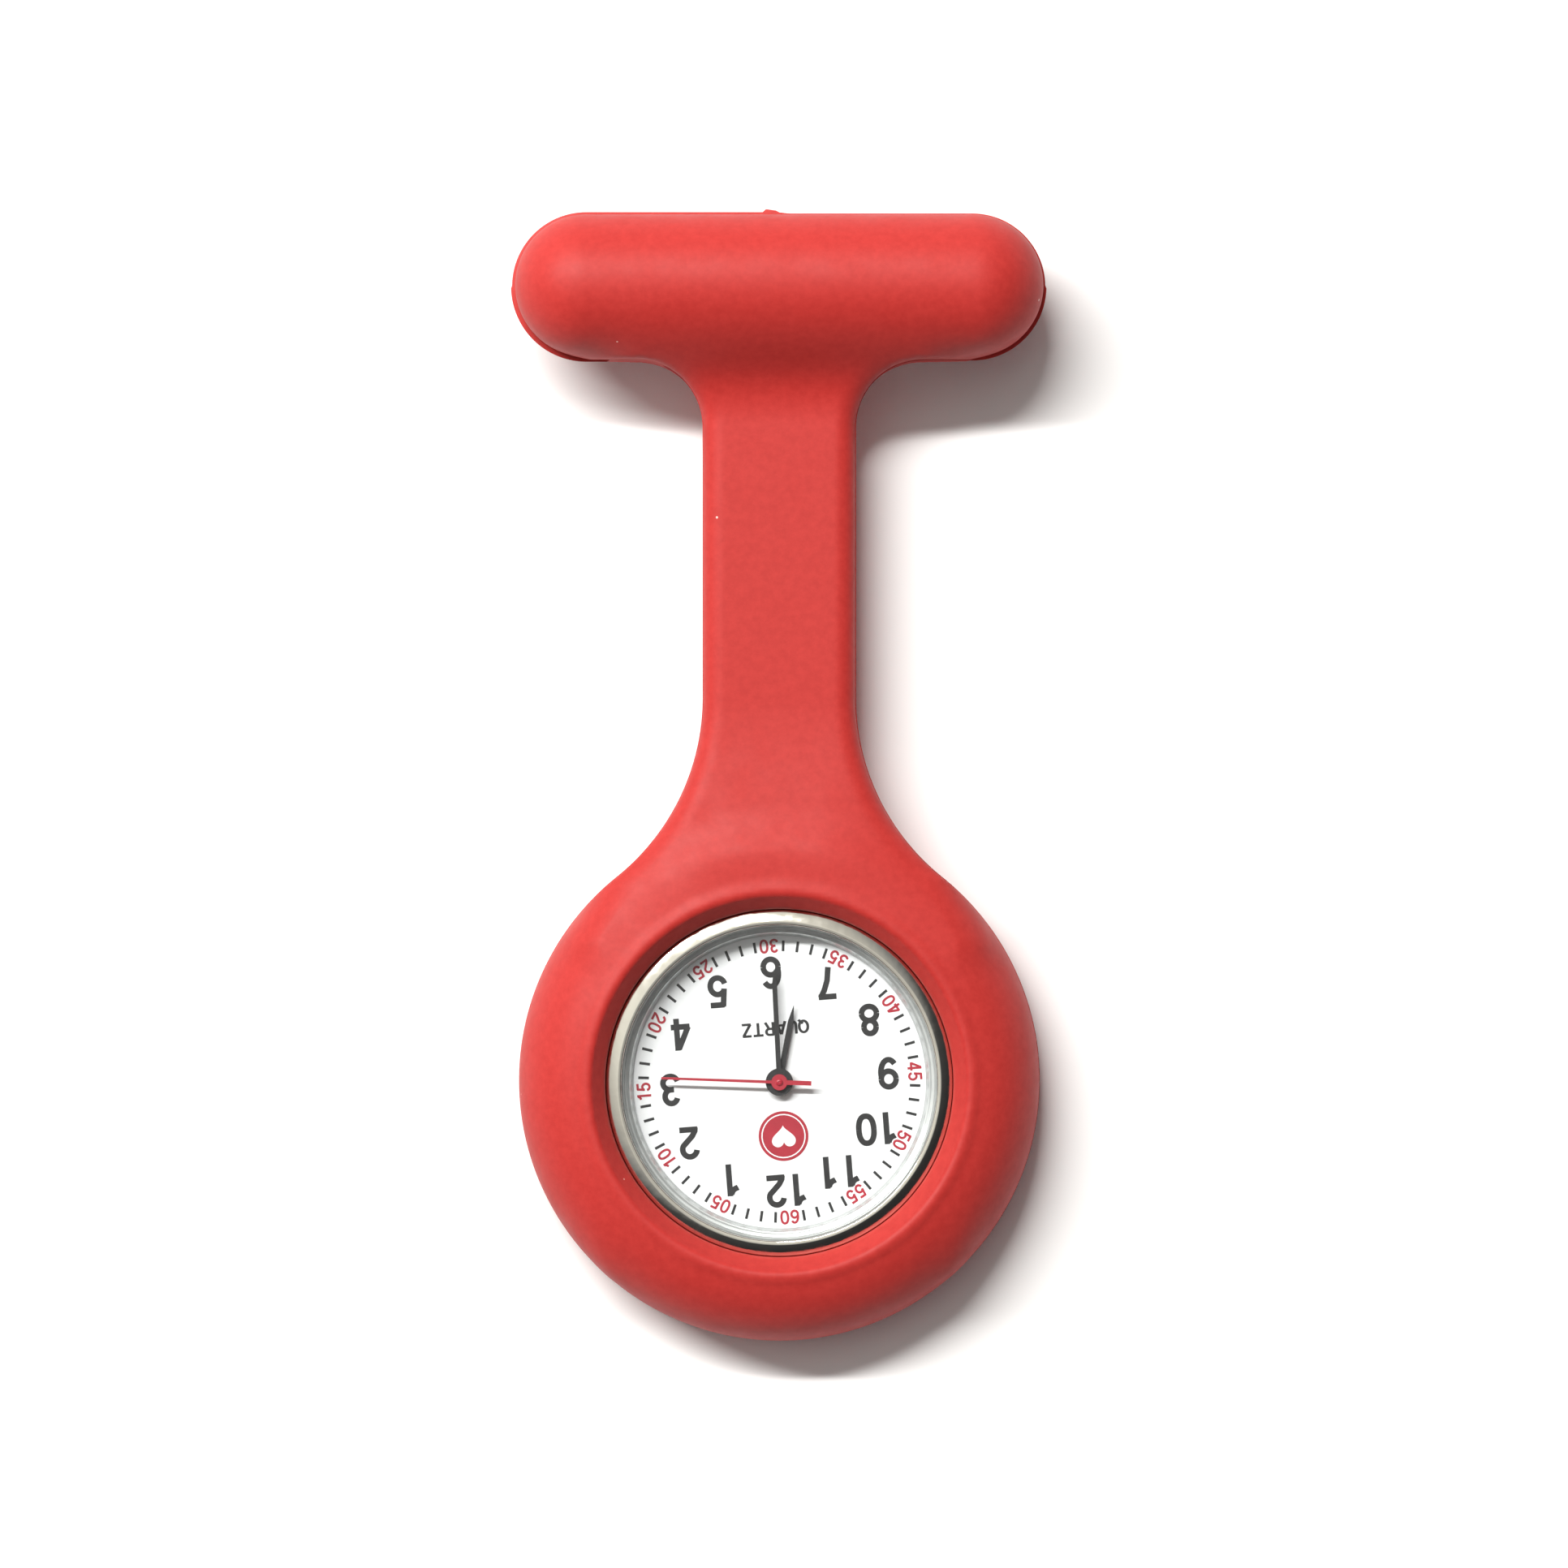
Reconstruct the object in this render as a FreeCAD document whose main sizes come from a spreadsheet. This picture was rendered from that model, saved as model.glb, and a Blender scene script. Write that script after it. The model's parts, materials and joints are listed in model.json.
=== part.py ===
import FreeCAD, Part
import math
import os
from types import SimpleNamespace

import Sketcher

V = FreeCAD.Vector

# A nurse's fob watch: a silicone holder with a brooch pin on the back of its top bar,
# and a quartz watch head that pops out of the holder's ring.
# Frame: +Z out of the dial, +Y towards the top bar, z = 0 under the holder's back.
# All lengths are millimetres and all angles degrees.
SIZES = {
    # Silicone holder, seen from the front
    "overall_length": 84.7,
    "head_radius": 19.6,
    "strap_half_width": 5.7,
    "strap_start": 28.8,
    "strap_end": 49.1,
    "flex_start": 32.0,
    "flex_end": 46.0,
    "flare_radius": 17.2,
    "flare_foot_x": 12.2,
    "flare_foot_y": 15.3,
    "corner_radius": 5.0,
    "bar_half_width": 19.95,
    "bar_radius": 5.5,
    "bar_centre": 59.6,
    # Silicone holder, seen from the side
    "dome_radius": 6.0,
    "dome_base": 3.6,
    "back_round": 2.3,
    "lip_outer": 15.1,
    "lip_inner": 13.9,
    "lip_height": 9.4,
    "lip_round": 0.75,
    "seat_radius": 13.05,
    "seat_top": 8.3,
    "seat_bottom": 0.9,
    "back_opening": 11.0,
    "strap_back": 5.2,
    "strap_front": 8.0,
    "bar_back": 4.5,
    "bar_front": 13.3,
    "bar_front_round": 4.4,
    "bar_back_round": 1.0,
    # Watch case
    "module_turn": 184.4,
    "case_back_radius": 11.9,
    "case_back_top": 1.4,
    "back_rim_outer": 10.85,
    "back_rim_inner": 10.3,
    "back_rim_top": 2.1,
    "case_radius": 12.0,
    "case_neck": 12.6,
    "case_bore": 10.6,
    "case_back_bore": 11.3,
    "case_back_bore_top": 2.3,
    "case_flare_start": 5.15,
    "case_flare_end": 5.55,
    "case_top": 7.1,
    "flange_bore": 12.2,
    "back_gasket_radius": 11.08,
    "back_gasket_height": 1.65,
    "back_gasket_section": 0.19,
    "bezel_radius": 12.96,
    "bezel_inner": 12.2,
    "bezel_bottom": 5.9,
    "bezel_shoulder": 7.5,
    "bezel_top": 8.2,
    "bezel_inner_fall": 0.06,
    "crystal_radius": 12.05,
    "crystal_bottom": 7.15,
    "crystal_top": 8.0,
    "crystal_bevel": 0.2,
    "dial_radius": 11.2,
    "dial_seat_radius": 11.25,
    "dial_bottom": 5.3,
    "dial_top": 5.6,
    "dial_hole": 0.85,
    "dial_foot_radius": 0.35,
    "dial_foot_bottom": 4.3,
    "dial_foot_distance": 8.0,
    "flange_inner": 11.0,
    "flange_outer": 12.15,
    # Crown and stem, on the three o'clock side
    "stem_height": 3.3,
    "stem_radius": 0.35,
    "stem_inner_end": 6.3,
    "stem_groove_start": 8.0,
    "stem_groove_end": 8.5,
    "stem_groove_radius": 0.15,
    "stem_hole": 0.6,
    "crown_start": 12.1,
    "crown_end": 12.9,
    "crown_radius": 1.3,
    "crown_pocket_start": 12.5,
    "crown_pocket_end": 14.15,
    "crown_pocket_half": 1.75,
    "crown_gasket_start": 11.2,
    "crown_gasket_length": 0.4,
    "crown_gasket_bore": 0.37,
    "clutch_start": 6.5,
    "clutch_end": 7.7,
    "clutch_groove_start": 7.3,
    "clutch_groove_end": 7.6,
    "clutch_radius": 0.75,
    "clutch_groove_radius": 0.5,
    "clutch_bore": 0.4,
    # Movement plates
    "movement_radius": 9.35,
    "holder_inner": 9.4,
    "holder_outer": 10.55,
    "holder_bottom": 2.15,
    "holder_top": 5.25,
    "plate_bottom": 3.7,
    "plate_top": 4.6,
    "bridge_radius": 5.3,
    "bridge_bottom": 2.2,
    "bridge_top": 2.5,
    "pillar_radius": 0.45,
    "pillar_distance": 4.7,
    "board_inner": 5.6,
    "board_outer": 9.2,
    "board_bottom": 1.95,
    "board_top": 2.15,
    "battery_radius": 3.4,
    "battery_distance": 5.75,
    "battery_angle": 215.0,
    "battery_bottom": 1.95,
    "battery_height": 2.15,
    "clamp_reach": 4.2,
    "clamp_half_width": 0.65,
    "clamp_thickness": 0.15,
    "coil_distance": 7.0,
    "coil_angle": 110.0,
    "coil_height": 2.95,
    "coil_radius": 0.68,
    "coil_length": 5.6,
    "quartz_radius": 0.55,
    "quartz_length": 4.2,
    "quartz_distance": 7.3,
    "quartz_lead_radius": 0.08,
    "quartz_lead_length": 0.8,
    "quartz_lead_spacing": 0.22,
    # Hands
    "hour_hand_height": 5.95,
    "hour_hand_length": 5.9,
    "hour_hand_half_width": 0.21,
    "hour_boss": 1.0,
    "minute_hand_height": 6.3,
    "minute_hand_length": 8.5,
    "minute_hand_half_width": 0.185,
    "minute_boss": 1.03,
    "second_hand_height": 6.68,
    "second_hand_length": 8.85,
    "second_hand_tail": 2.4,
    "second_hand_half_width": 0.075,
    "second_tail_half_width": 0.17,
    "second_boss": 0.6,
    "hand_thickness": 0.1,
    # Brooch pin on the back of the bar
    "brooch_plate_half_length": 16.0,
    "brooch_plate_radius": 2.6,
    "brooch_plate_thickness": 0.8,
    "needle_height": 1.8,
    "needle_radius": 0.45,
    "needle_root_radius": 0.65,
    "needle_root_end": 10.9,
    "needle_tip_start": 11.3,
    "needle_tip_end": 15.2,
    "needle_tip_radius": 0.03,
    "hinge_x": 13.0,
    "ear_radius": 1.8,
    "ear_inner": 0.95,
    "ear_thickness": 0.6,
    "knuckle_radius": 1.1,
    "knuckle_half_width": 0.85,
    "knuckle_bore": 0.45,
    "rivet_radius": 0.4,
    "rivet_head_radius": 0.7,
    "rivet_head_height": 0.25,
    "catch_start": 12.2,
    "catch_end": 13.6,
    "catch_radius": 1.8,
    "catch_bore": 1.25,
    "catch_mouth_half": 0.62,
    "barrel_radius": 1.2,
    "barrel_bore": 0.6,
    "barrel_slot_half": 0.55,
    "barrel_start": 11.85,
    "barrel_end": 14.45,
    "barrel_collar_radius": 1.5,
    "barrel_gap": 0.05,
    "barrel_tab_reach": 2.4,
}

# Times shown by the hands, as degrees clockwise from twelve
HOUR_ANGLE = 195.1
MINUTE_ANGLE = 181.6
SECOND_ANGLE = 96.4

# Wheel train: teeth, tooth module, bottom and top of each wheel and of each pinion's leaves
TEETH = {
    "centre_wheel": (64, 0.06646, 3.42, 3.57),
    "cannon_leaves": (10, 0.12, 4.65, 4.82),
    "third_leaves": (8, 0.0667, 3.36, 3.62),
    "third_wheel": (60, 0.0706, 3.0, 3.12),
    "fourth_leaves": (8, 0.0706, 2.95, 3.17),
    "fourth_wheel": (40, 0.1, 2.7, 2.84),
    "fifth_leaves": (8, 0.1, 2.64, 2.9),
    "fifth_wheel": (36, 0.08, 3.2, 3.34),
    "rotor_leaves": (6, 0.08, 3.16, 3.4),
    "minute_wheel": (30, 0.12, 4.65, 4.8),
    "minute_leaves": (8, 0.12, 4.93, 5.1),
    "hour_wheel": (32, 0.12, 4.95, 5.08),
}
# Bottom and top of each arbor, tube, magnet and hub
ARBOR_ENDS = (2.3, 3.9)
FOURTH_ARBOR_ENDS = (2.25, 6.78)
CANNON_ENDS = (3.38, 6.4)
MAGNET_ENDS = (2.78, 3.12)
MINUTE_HUB_ENDS = (4.8, 4.95)
HOUR_TUBE_ENDS = (4.95, 6.05)
MAGNET_RADIUS = 0.6
MINUTE_HUB_RADIUS = 0.4
MINUTE_WHEEL_BORE = 0.2
MINUTE_STUD_RADIUS = 0.15
# Where the arbors stand about the dial's centre
TRAIN_DISTANCE = 2.4
THIRD_ANGLE = -15.0
FIFTH_ANGLE = 130.0
ROTOR_DISTANCE = 4.08
MINUTE_WHEEL_ANGLE = 25.0
PILLAR_ANGLES = (60.0, 165.0, 285.0)
DIAL_FOOT_ANGLES = (75.0, 290.0)
BOARD_SCREW_ANGLES = (40.0, 150.0)
BOARD_SCREW_DISTANCE = 6.15
ARBOR_RADIUS = 0.12
PIVOT_HOLE = 0.17
CANNON_RADIUS = 0.42
CANNON_BORE = 0.2
HOUR_TUBE_RADIUS = 0.72
HOUR_TUBE_BORE = 0.47

# Keyless works, in the movement's plane: x along the stem, y across it
LEVER_PIVOT = (8.7, 1.8)
LEVER_PIN = (8.25, 0.33)
LEVER_PIVOT_RADIUS = 0.4
LEVER_TIP_RADIUS = 0.2
LEVER_BOTTOM, LEVER_TOP = 2.55, 2.85
LEVER_PIN_RADIUS, LEVER_PIN_LENGTH = 0.1, 0.65
LEVER_STUD_RADIUS, LEVER_STUD_BOTTOM = 0.2, 2.4
LEVER_BORE = 0.25
YOKE_PIVOT = (7.6, -3.0)
YOKE_TIP_Y = -1.0
YOKE_TIP_RADIUS = 0.25
YOKE_BOTTOM, YOKE_TOP = 2.1, 2.35
YOKE_FINGER = (0.2, 0.58, 1.1)

# Movement screws
SCREW_LENGTH = 0.8
SCREW_HEAD_RADIUS, SCREW_HEAD_HEIGHT = 0.42, 0.2
SCREW_SLOT = (0.9, 0.12, 0.1)

doc = FreeCAD.newDocument("fob_watch")
sheet = doc.addObject("Spreadsheet::Sheet", "sizes")
nodes = []


class Size:
    """A number that remembers the spreadsheet expression it comes from."""

    def __init__(self, value, text):
        self.value = value
        self.text = text

    def __add__(self, other):
        return Size(self.value + number(other), f"({self.text} + {text(other)})")

    def __radd__(self, other):
        return self + other

    def __sub__(self, other):
        return Size(self.value - number(other), f"({self.text} - {text(other)})")

    def __rsub__(self, other):
        return Size(number(other) - self.value, f"({text(other)} - {self.text})")

    def __mul__(self, other):
        return Size(self.value * number(other), f"({self.text} * {text(other)})")

    def __rmul__(self, other):
        return self * other

    def __truediv__(self, other):
        return Size(self.value / number(other), f"({self.text} / {text(other)})")

    def __neg__(self):
        return Size(-self.value, f"(0 - {self.text})")


def number(size):
    return size.value if isinstance(size, Size) else float(size)


def text(size):
    return size.text if isinstance(size, Size) else repr(float(size))


def cosine(angle):
    return Size(math.cos(math.radians(number(angle))), f"cos({text(angle)} * 1 deg)")


def sine(angle):
    return Size(math.sin(math.radians(number(angle))), f"sin({text(angle)} * 1 deg)")


def fill_sheet():
    """Writes every driving size to the sheet and returns them by name."""
    named = {}
    for row, (name, value) in enumerate(SIZES.items(), start=1):
        sheet.set(f"A{row}", name)
        sheet.set(f"B{row}", str(value))
        sheet.setAlias(f"B{row}", name)
        named[name] = Size(value, f"sizes.{name}")
    doc.recompute()
    return SimpleNamespace(**named)


size = fill_sheet()
HEAD_Y = size.head_radius - size.overall_length / 2
BAR_Y = HEAD_Y + size.bar_centre


def bind(target, name, value):
    """Sets a property from a size and keeps it bound to the sheet."""
    if isinstance(value, Size):
        target.setExpression(name, value.text)
    elif "." not in name:
        setattr(target, name, value)
    else:
        target.setExpression(name, text(value))


def place(target, x=0.0, y=0.0, z=0.0, axis=V(0, 0, 1), angle=0.0):
    """Puts an object at a point, turned by an angle about an axis."""
    base = V(number(x), number(y), number(z))
    target.Placement = FreeCAD.Placement(base, FreeCAD.Rotation(axis, number(angle)))
    for name, value in (("Base.x", x), ("Base.y", y), ("Base.z", z), ("Rotation.Angle", angle)):
        if isinstance(value, Size):
            bind(target, "Placement." + name, value)
    return target


def in_head(target, distance=0.0, angle=0.0, spin=0.0):
    """Puts a piece of the watch head at a polar place about the dial's centre."""
    direction = size.module_turn + angle
    x = cosine(direction) * distance
    y = HEAD_Y + sine(direction) * distance
    return place(target, x, y, 0.0, V(0, 0, 1), size.module_turn + spin)


def node(target, label):
    """Names an object as one finished sub-part."""
    target.Label = label
    nodes.append(target)
    return target


def arc_between(start, end, radius, side):
    """An arc from start to end that bulges to the left (side 1) or the right (side -1)."""
    chord = end - start
    half = chord.Length / 2
    left = V(-chord.y, chord.x, 0).normalize()
    centre = (start + end) / 2 - left * (side * math.sqrt(max(radius ** 2 - half ** 2, 0.0)))
    first, last = (start, end) if side < 0 else (end, start)
    angles = [math.atan2(p.y - centre.y, p.x - centre.x) for p in (first, last)]
    circle = Part.Circle(centre, V(0, 0, 1), radius)
    return Part.ArcOfCircle(circle, angles[0], angles[1])


def outline(sketch, points):
    """Draws a closed outline; a point may end with the radius and side of the arc that leaves it."""
    places = [V(number(p[0]), number(p[1]), 0) for p in points]
    ends = []
    first = sketch.GeometryCount
    for i, point in enumerate(points):
        start, end = places[i], places[(i + 1) % len(places)]
        if len(point) == 2:
            sketch.addGeometry(Part.LineSegment(start, end), False)
            ends.append((1, 2))
        else:
            sketch.addGeometry(arc_between(start, end, number(point[2]), point[3]), False)
            ends.append((1, 2) if point[3] < 0 else (2, 1))
    for i, point in enumerate(points):
        after = (i + 1) % len(points)
        edge = first + i
        join = Sketcher.Constraint("Coincident", edge, ends[i][1], first + after, ends[after][0])
        sketch.addConstraint(join)
        for kind, value in (("DistanceX", point[0]), ("DistanceY", point[1])):
            limit(sketch, Sketcher.Constraint(kind, -1, 1, edge, ends[i][0], number(value)), value)
        if len(point) > 2:
            limit(sketch, Sketcher.Constraint("Radius", edge, number(point[2])), point[2])


def circle_hole(sketch, x, y, radius):
    """Draws a circle inside an outline."""
    edge = sketch.addGeometry(Part.Circle(V(number(x), number(y), 0), V(0, 0, 1), number(radius)), False)
    for kind, value in (("DistanceX", x), ("DistanceY", y)):
        limit(sketch, Sketcher.Constraint(kind, -1, 1, edge, 3, number(value)), value)
    limit(sketch, Sketcher.Constraint("Radius", edge, number(radius)), radius)


def limit(sketch, constraint, value):
    """Adds a dimension to a sketch and binds it to the sheet."""
    index = sketch.addConstraint(constraint)
    if isinstance(value, Size):
        sketch.setExpression(f"Constraints[{index}]", value.text)


def body_with_sketch(name, role, points, holes=(), offset=0.0):
    body = doc.addObject("PartDesign::Body", name)
    plane = [feature for feature in body.Origin.OriginFeatures if feature.Role == role][0]
    sketch = body.newObject("Sketcher::SketchObject", name + "_sketch")
    sketch.AttachmentSupport = [(plane, "")]
    sketch.MapMode = "FlatFace"
    sketch.AttachmentOffset = FreeCAD.Placement(V(0, 0, number(offset)), FreeCAD.Rotation())
    if isinstance(offset, Size):
        sketch.setExpression("AttachmentOffset.Base.z", offset.text)
    outline(sketch, points)
    for hole in holes:
        circle_hole(sketch, *hole)
    return body, sketch


def turned(name, points):
    """A solid of revolution about Z from an outline of (radius, height) points."""
    body, sketch = body_with_sketch(name, "XZ_Plane", points)
    feature = body.newObject("PartDesign::Revolution", name + "_turning")
    feature.Profile = sketch
    feature.ReferenceAxis = (sketch, ["V_Axis"])
    feature.Angle = 360
    return body


def padded(name, points, bottom, top, holes=(), role="XY_Plane"):
    """An outline extruded from bottom to top along its plane's normal."""
    body, sketch = body_with_sketch(name, role, points, holes, bottom)
    feature = body.newObject("PartDesign::Pad", name + "_pad")
    feature.Profile = sketch
    feature.Length = number(top) - number(bottom)
    if isinstance(top, Size) or isinstance(bottom, Size):
        feature.setExpression("Length", f"{text(top)} - {text(bottom)}")
    return body


AXES = {"X": (V(0, 1, 0), 90), "Y": (V(1, 0, 0), -90), "Z": (V(0, 0, 1), 0)}


def rod(name, radius, length, x=0.0, y=0.0, z=0.0, along="Z"):
    """A cylinder from a point along one axis."""
    cylinder = doc.addObject("Part::Cylinder", name)
    bind(cylinder, "Radius", radius)
    bind(cylinder, "Height", length)
    axis, angle = AXES[along]
    return place(cylinder, x, y, z, axis, angle)


def block(name, low, high):
    """A box between two corners."""
    box = doc.addObject("Part::Box", name)
    for side, start, end in zip(("Length", "Width", "Height"), low, high):
        bind(box, side, end - start if isinstance(end, Size) else Size(end, repr(end)) - start)
    return place(box, *low)


def fused(name, pieces):
    union = doc.addObject("Part::MultiFuse", name)
    union.Shapes = pieces
    return union


def cut(name, base, tools):
    """The base with each tool taken away."""
    result = doc.addObject("Part::Cut", name)
    result.Base = base
    result.Tool = tools[0] if len(tools) == 1 else fused(name + "_tools", tools)
    return result


def stadium(half_length, radius, y=0.0):
    """A long hole's outline, centred on x = 0."""
    straight = half_length - radius
    low, middle, high = y - radius, y, y + radius
    return [
        (-straight, low),
        (straight, low, radius, -1),
        (half_length, middle, radius, -1),
        (straight, high),
        (-straight, high, radius, -1),
        (-half_length, middle, radius, -1),
    ]


def polar(distance, angle):
    turn = math.radians(angle)
    return V(distance * math.cos(turn), distance * math.sin(turn), 0)


def toothed_disc(teeth, module, bottom, top, angle=0.0, bore=0.0, windows=0):
    """A wheel or pinion with straight-sided teeth; one tooth points at the given angle."""
    pitch_radius = teeth * module / 2
    tip, root = pitch_radius + 0.8 * module, pitch_radius - 1.15 * module
    step = 360.0 / teeth
    points = []
    for tooth in range(teeth):
        middle = angle + tooth * step
        for radius, share in ((root, -0.32), (tip, -0.12), (tip, 0.12), (root, 0.32)):
            points.append(polar(radius, middle + share * step) + V(0, 0, bottom))
    disc = Part.Face(Part.makePolygon(points + points[:1])).extrude(V(0, 0, top - bottom))
    holes = [Part.makeCylinder(bore, top - bottom + 1, V(0, 0, bottom - 0.5))] if bore else []
    for window in range(windows):
        centre = polar(0.56 * pitch_radius, angle + window * 360.0 / windows) + V(0, 0, bottom - 0.5)
        holes.append(Part.makeCylinder(0.24 * pitch_radius, top - bottom + 1, centre))
    return disc.cut(holes) if holes else disc


def tube(radius, bottom, top, bore=0.0):
    solid = Part.makeCylinder(radius, top - bottom, V(0, 0, bottom))
    return solid.cut(Part.makeCylinder(bore, top - bottom + 1, V(0, 0, bottom - 0.5))) if bore else solid


def formed(name, shapes):
    """A toothed piece, joined from shapes made by formula."""
    feature = doc.addObject("Part::Feature", name)
    whole = shapes[0].multiFuse(shapes[1:]).removeSplitter() if len(shapes) > 1 else shapes[0]
    feature.Shape = Part.makeCompound([whole])
    return feature


# ---------------------------------------------------------------- silicone holder

def strap_slab(name, points):
    """A stretch of strap from its front outline."""
    return padded(name, points, size.strap_back, size.strap_front)


def watch_ring():
    ring = turned("ring_turned", [
        (size.back_opening, 0.0),
        (size.head_radius - size.back_round, 0.0, size.back_round, -1),
        (size.head_radius, size.back_round),
        (size.head_radius, size.dome_base, size.dome_radius, -1),
        (size.lip_outer, size.lip_height, size.lip_round, -1),
        (size.lip_inner, size.lip_height),
        (size.seat_radius, size.seat_top),
        (size.seat_radius, size.seat_bottom),
        (size.back_opening, size.seat_bottom),
    ])
    half, foot_x, foot_y = size.strap_half_width, size.flare_foot_x, size.flare_foot_y
    flare = strap_slab("ring_flare", [
        (-foot_x, foot_y),
        (foot_x, foot_y, size.flare_radius, 1),
        (half, size.strap_start),
        (half, size.flex_start),
        (-half, size.flex_start),
        (-half, size.strap_start, size.flare_radius, 1),
    ])
    pocket_half = size.crown_pocket_half
    pocket = padded("crown_pocket", [
        (size.crown_pocket_start, -pocket_half),
        (size.crown_pocket_end, -pocket_half),
        (size.crown_pocket_end, pocket_half),
        (size.crown_pocket_start, pocket_half),
    ], size.stem_height - pocket_half, size.stem_height + pocket_half)
    place(pocket, angle=size.module_turn)
    ring = cut("ring_cut", fused("ring_whole", [ring, flare]), [pocket])
    node(place(ring, y=HEAD_Y), "watch_ring")


def strap_flex_zone():
    half = size.strap_half_width
    start, end = size.flex_start, size.flex_end
    slab = strap_slab("flex", [(-half, start), (half, start), (half, end), (-half, end)])
    node(place(slab, y=HEAD_Y), "strap_flex_zone")


def top_bar():
    bar = padded("bar", stadium(size.bar_half_width, size.bar_radius, size.bar_centre),
                 size.bar_back, size.bar_front)
    doc.recompute()
    rounded = bar.Tip
    for name, height, radius in (("front", size.bar_front, size.bar_front_round),
                                 ("back", size.bar_back, size.bar_back_round)):
        edges = [f"Edge{i}" for i, edge in enumerate(rounded.Shape.Edges, start=1)
                 if abs(edge.BoundBox.ZMin - number(height)) < 1e-4
                 and abs(edge.BoundBox.ZMax - number(height)) < 1e-4]
        fillet = bar.newObject("PartDesign::Fillet", f"bar_{name}_round")
        fillet.Base = (rounded, edges)
        bind(fillet, "Radius", radius)
        doc.recompute()
        rounded = fillet
    half, corner = size.strap_half_width, size.corner_radius
    bar_edge = size.bar_centre - size.bar_radius
    inside = size.bar_centre - size.bar_radius / 3
    neck = strap_slab("neck", [
        (-half, size.flex_end),
        (half, size.flex_end),
        (half, size.strap_end, corner, 1),
        (half + corner, bar_edge),
        (half + corner, inside),
        (-half - corner, inside),
        (-half - corner, bar_edge, corner, 1),
        (-half, size.strap_end),
    ])
    recess = padded("brooch_recess",
                    stadium(size.brooch_plate_half_length, size.brooch_plate_radius, size.bar_centre),
                    size.bar_back - 1, size.bar_back + size.brooch_plate_thickness)
    whole = cut("bar_cut", fused("bar_whole", [bar, neck]), [recess])
    node(place(whole, y=HEAD_Y), "top_bar")


# ---------------------------------------------------------------- brooch pin

def brooch_plate():
    holes = [(x, 0.0, size.needle_radius) for x in (-size.hinge_x / 2, size.hinge_x / 2)]
    plate = padded("plate", stadium(size.brooch_plate_half_length, size.brooch_plate_radius),
                   size.bar_back, size.bar_back + size.brooch_plate_thickness, holes)
    node(place(plate, y=BAR_Y), "brooch_plate")


def brooch_hinge():
    """Two ears on a base, and the rivet that the needle turns on."""
    x, z, radius = size.hinge_x, size.needle_height, size.ear_radius
    outer = size.ear_inner + size.ear_thickness
    base_bottom = size.bar_back - size.ear_thickness / 2
    pieces = [block("hinge_base", (x - radius, -outer, base_bottom), (x + radius, outer, size.bar_back))]
    for side, start in (("left", -outer), ("right", size.ear_inner)):
        pieces.append(rod(f"ear_{side}_round", radius, size.ear_thickness, x, start, z, "Y"))
        pieces.append(block(f"ear_{side}_stem", (x - radius, start, z),
                            (x + radius, start + size.ear_thickness, size.bar_back)))
    hole = rod("ear_hole", size.rivet_radius, outer * 4, x, -outer * 2, z, "Y")
    node(place(cut("ears", fused("ears_whole", pieces), [hole]), y=BAR_Y), "brooch_hinge_ears")

    head, height = size.rivet_head_radius, size.rivet_head_height
    rivet = fused("rivet", [
        rod("rivet_shank", size.rivet_radius, outer * 2, x, -outer, z, "Y"),
        rod("rivet_head_low", head, height, x, -outer - height, z, "Y"),
        rod("rivet_head_high", head, height, x, outer, z, "Y"),
    ])
    node(place(rivet, y=BAR_Y), "brooch_hinge_rivet")


def pin_needle():
    """The needle: a knuckle, a thicker root, the straight shank and a long point."""
    x, z = size.hinge_x, size.needle_height
    root_end, tip_start = size.needle_root_end, size.needle_tip_start
    tip = doc.addObject("Part::Cone", "needle_tip")
    bind(tip, "Radius1", size.needle_radius)
    bind(tip, "Radius2", size.needle_tip_radius)
    bind(tip, "Height", size.needle_tip_end - tip_start)
    place(tip, -tip_start, 0.0, z, V(0, 1, 0), -90)
    width = size.knuckle_half_width
    whole = fused("needle_whole", [
        rod("knuckle", size.knuckle_radius, width * 2, x, -width, z, "Y"),
        rod("needle_root", size.needle_root_radius, x - root_end, root_end, 0.0, z, "X"),
        rod("needle_shank", size.needle_radius, root_end + tip_start, -tip_start, 0.0, z, "X"),
        tip,
    ])
    bore = rod("knuckle_bore", size.knuckle_bore, size.ear_radius * 2, x, -size.ear_radius, z, "Y")
    node(place(cut("needle", whole, [bore]), y=BAR_Y), "pin_needle")


def catch_stand():
    """A C-shaped stand whose mouth faces away from the bar."""
    start, width, z = -size.catch_end, size.catch_end - size.catch_start, size.needle_height
    foot = size.catch_bore
    whole = fused("catch_whole", [
        rod("catch_round", size.catch_radius, width, start, 0.0, z, "X"),
        block("catch_foot", (start, -foot, z + foot), (start + width, foot, size.bar_back)),
    ])
    mouth = size.catch_mouth_half
    tools = [
        rod("catch_hole", size.catch_bore, width * 3, start - width, 0.0, z, "X"),
        block("catch_mouth", (start - width, -mouth, z - size.catch_radius * 2),
              (start + width * 2, mouth, z)),
    ]
    node(place(cut("catch", whole, tools), y=BAR_Y), "catch_stand")


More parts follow.
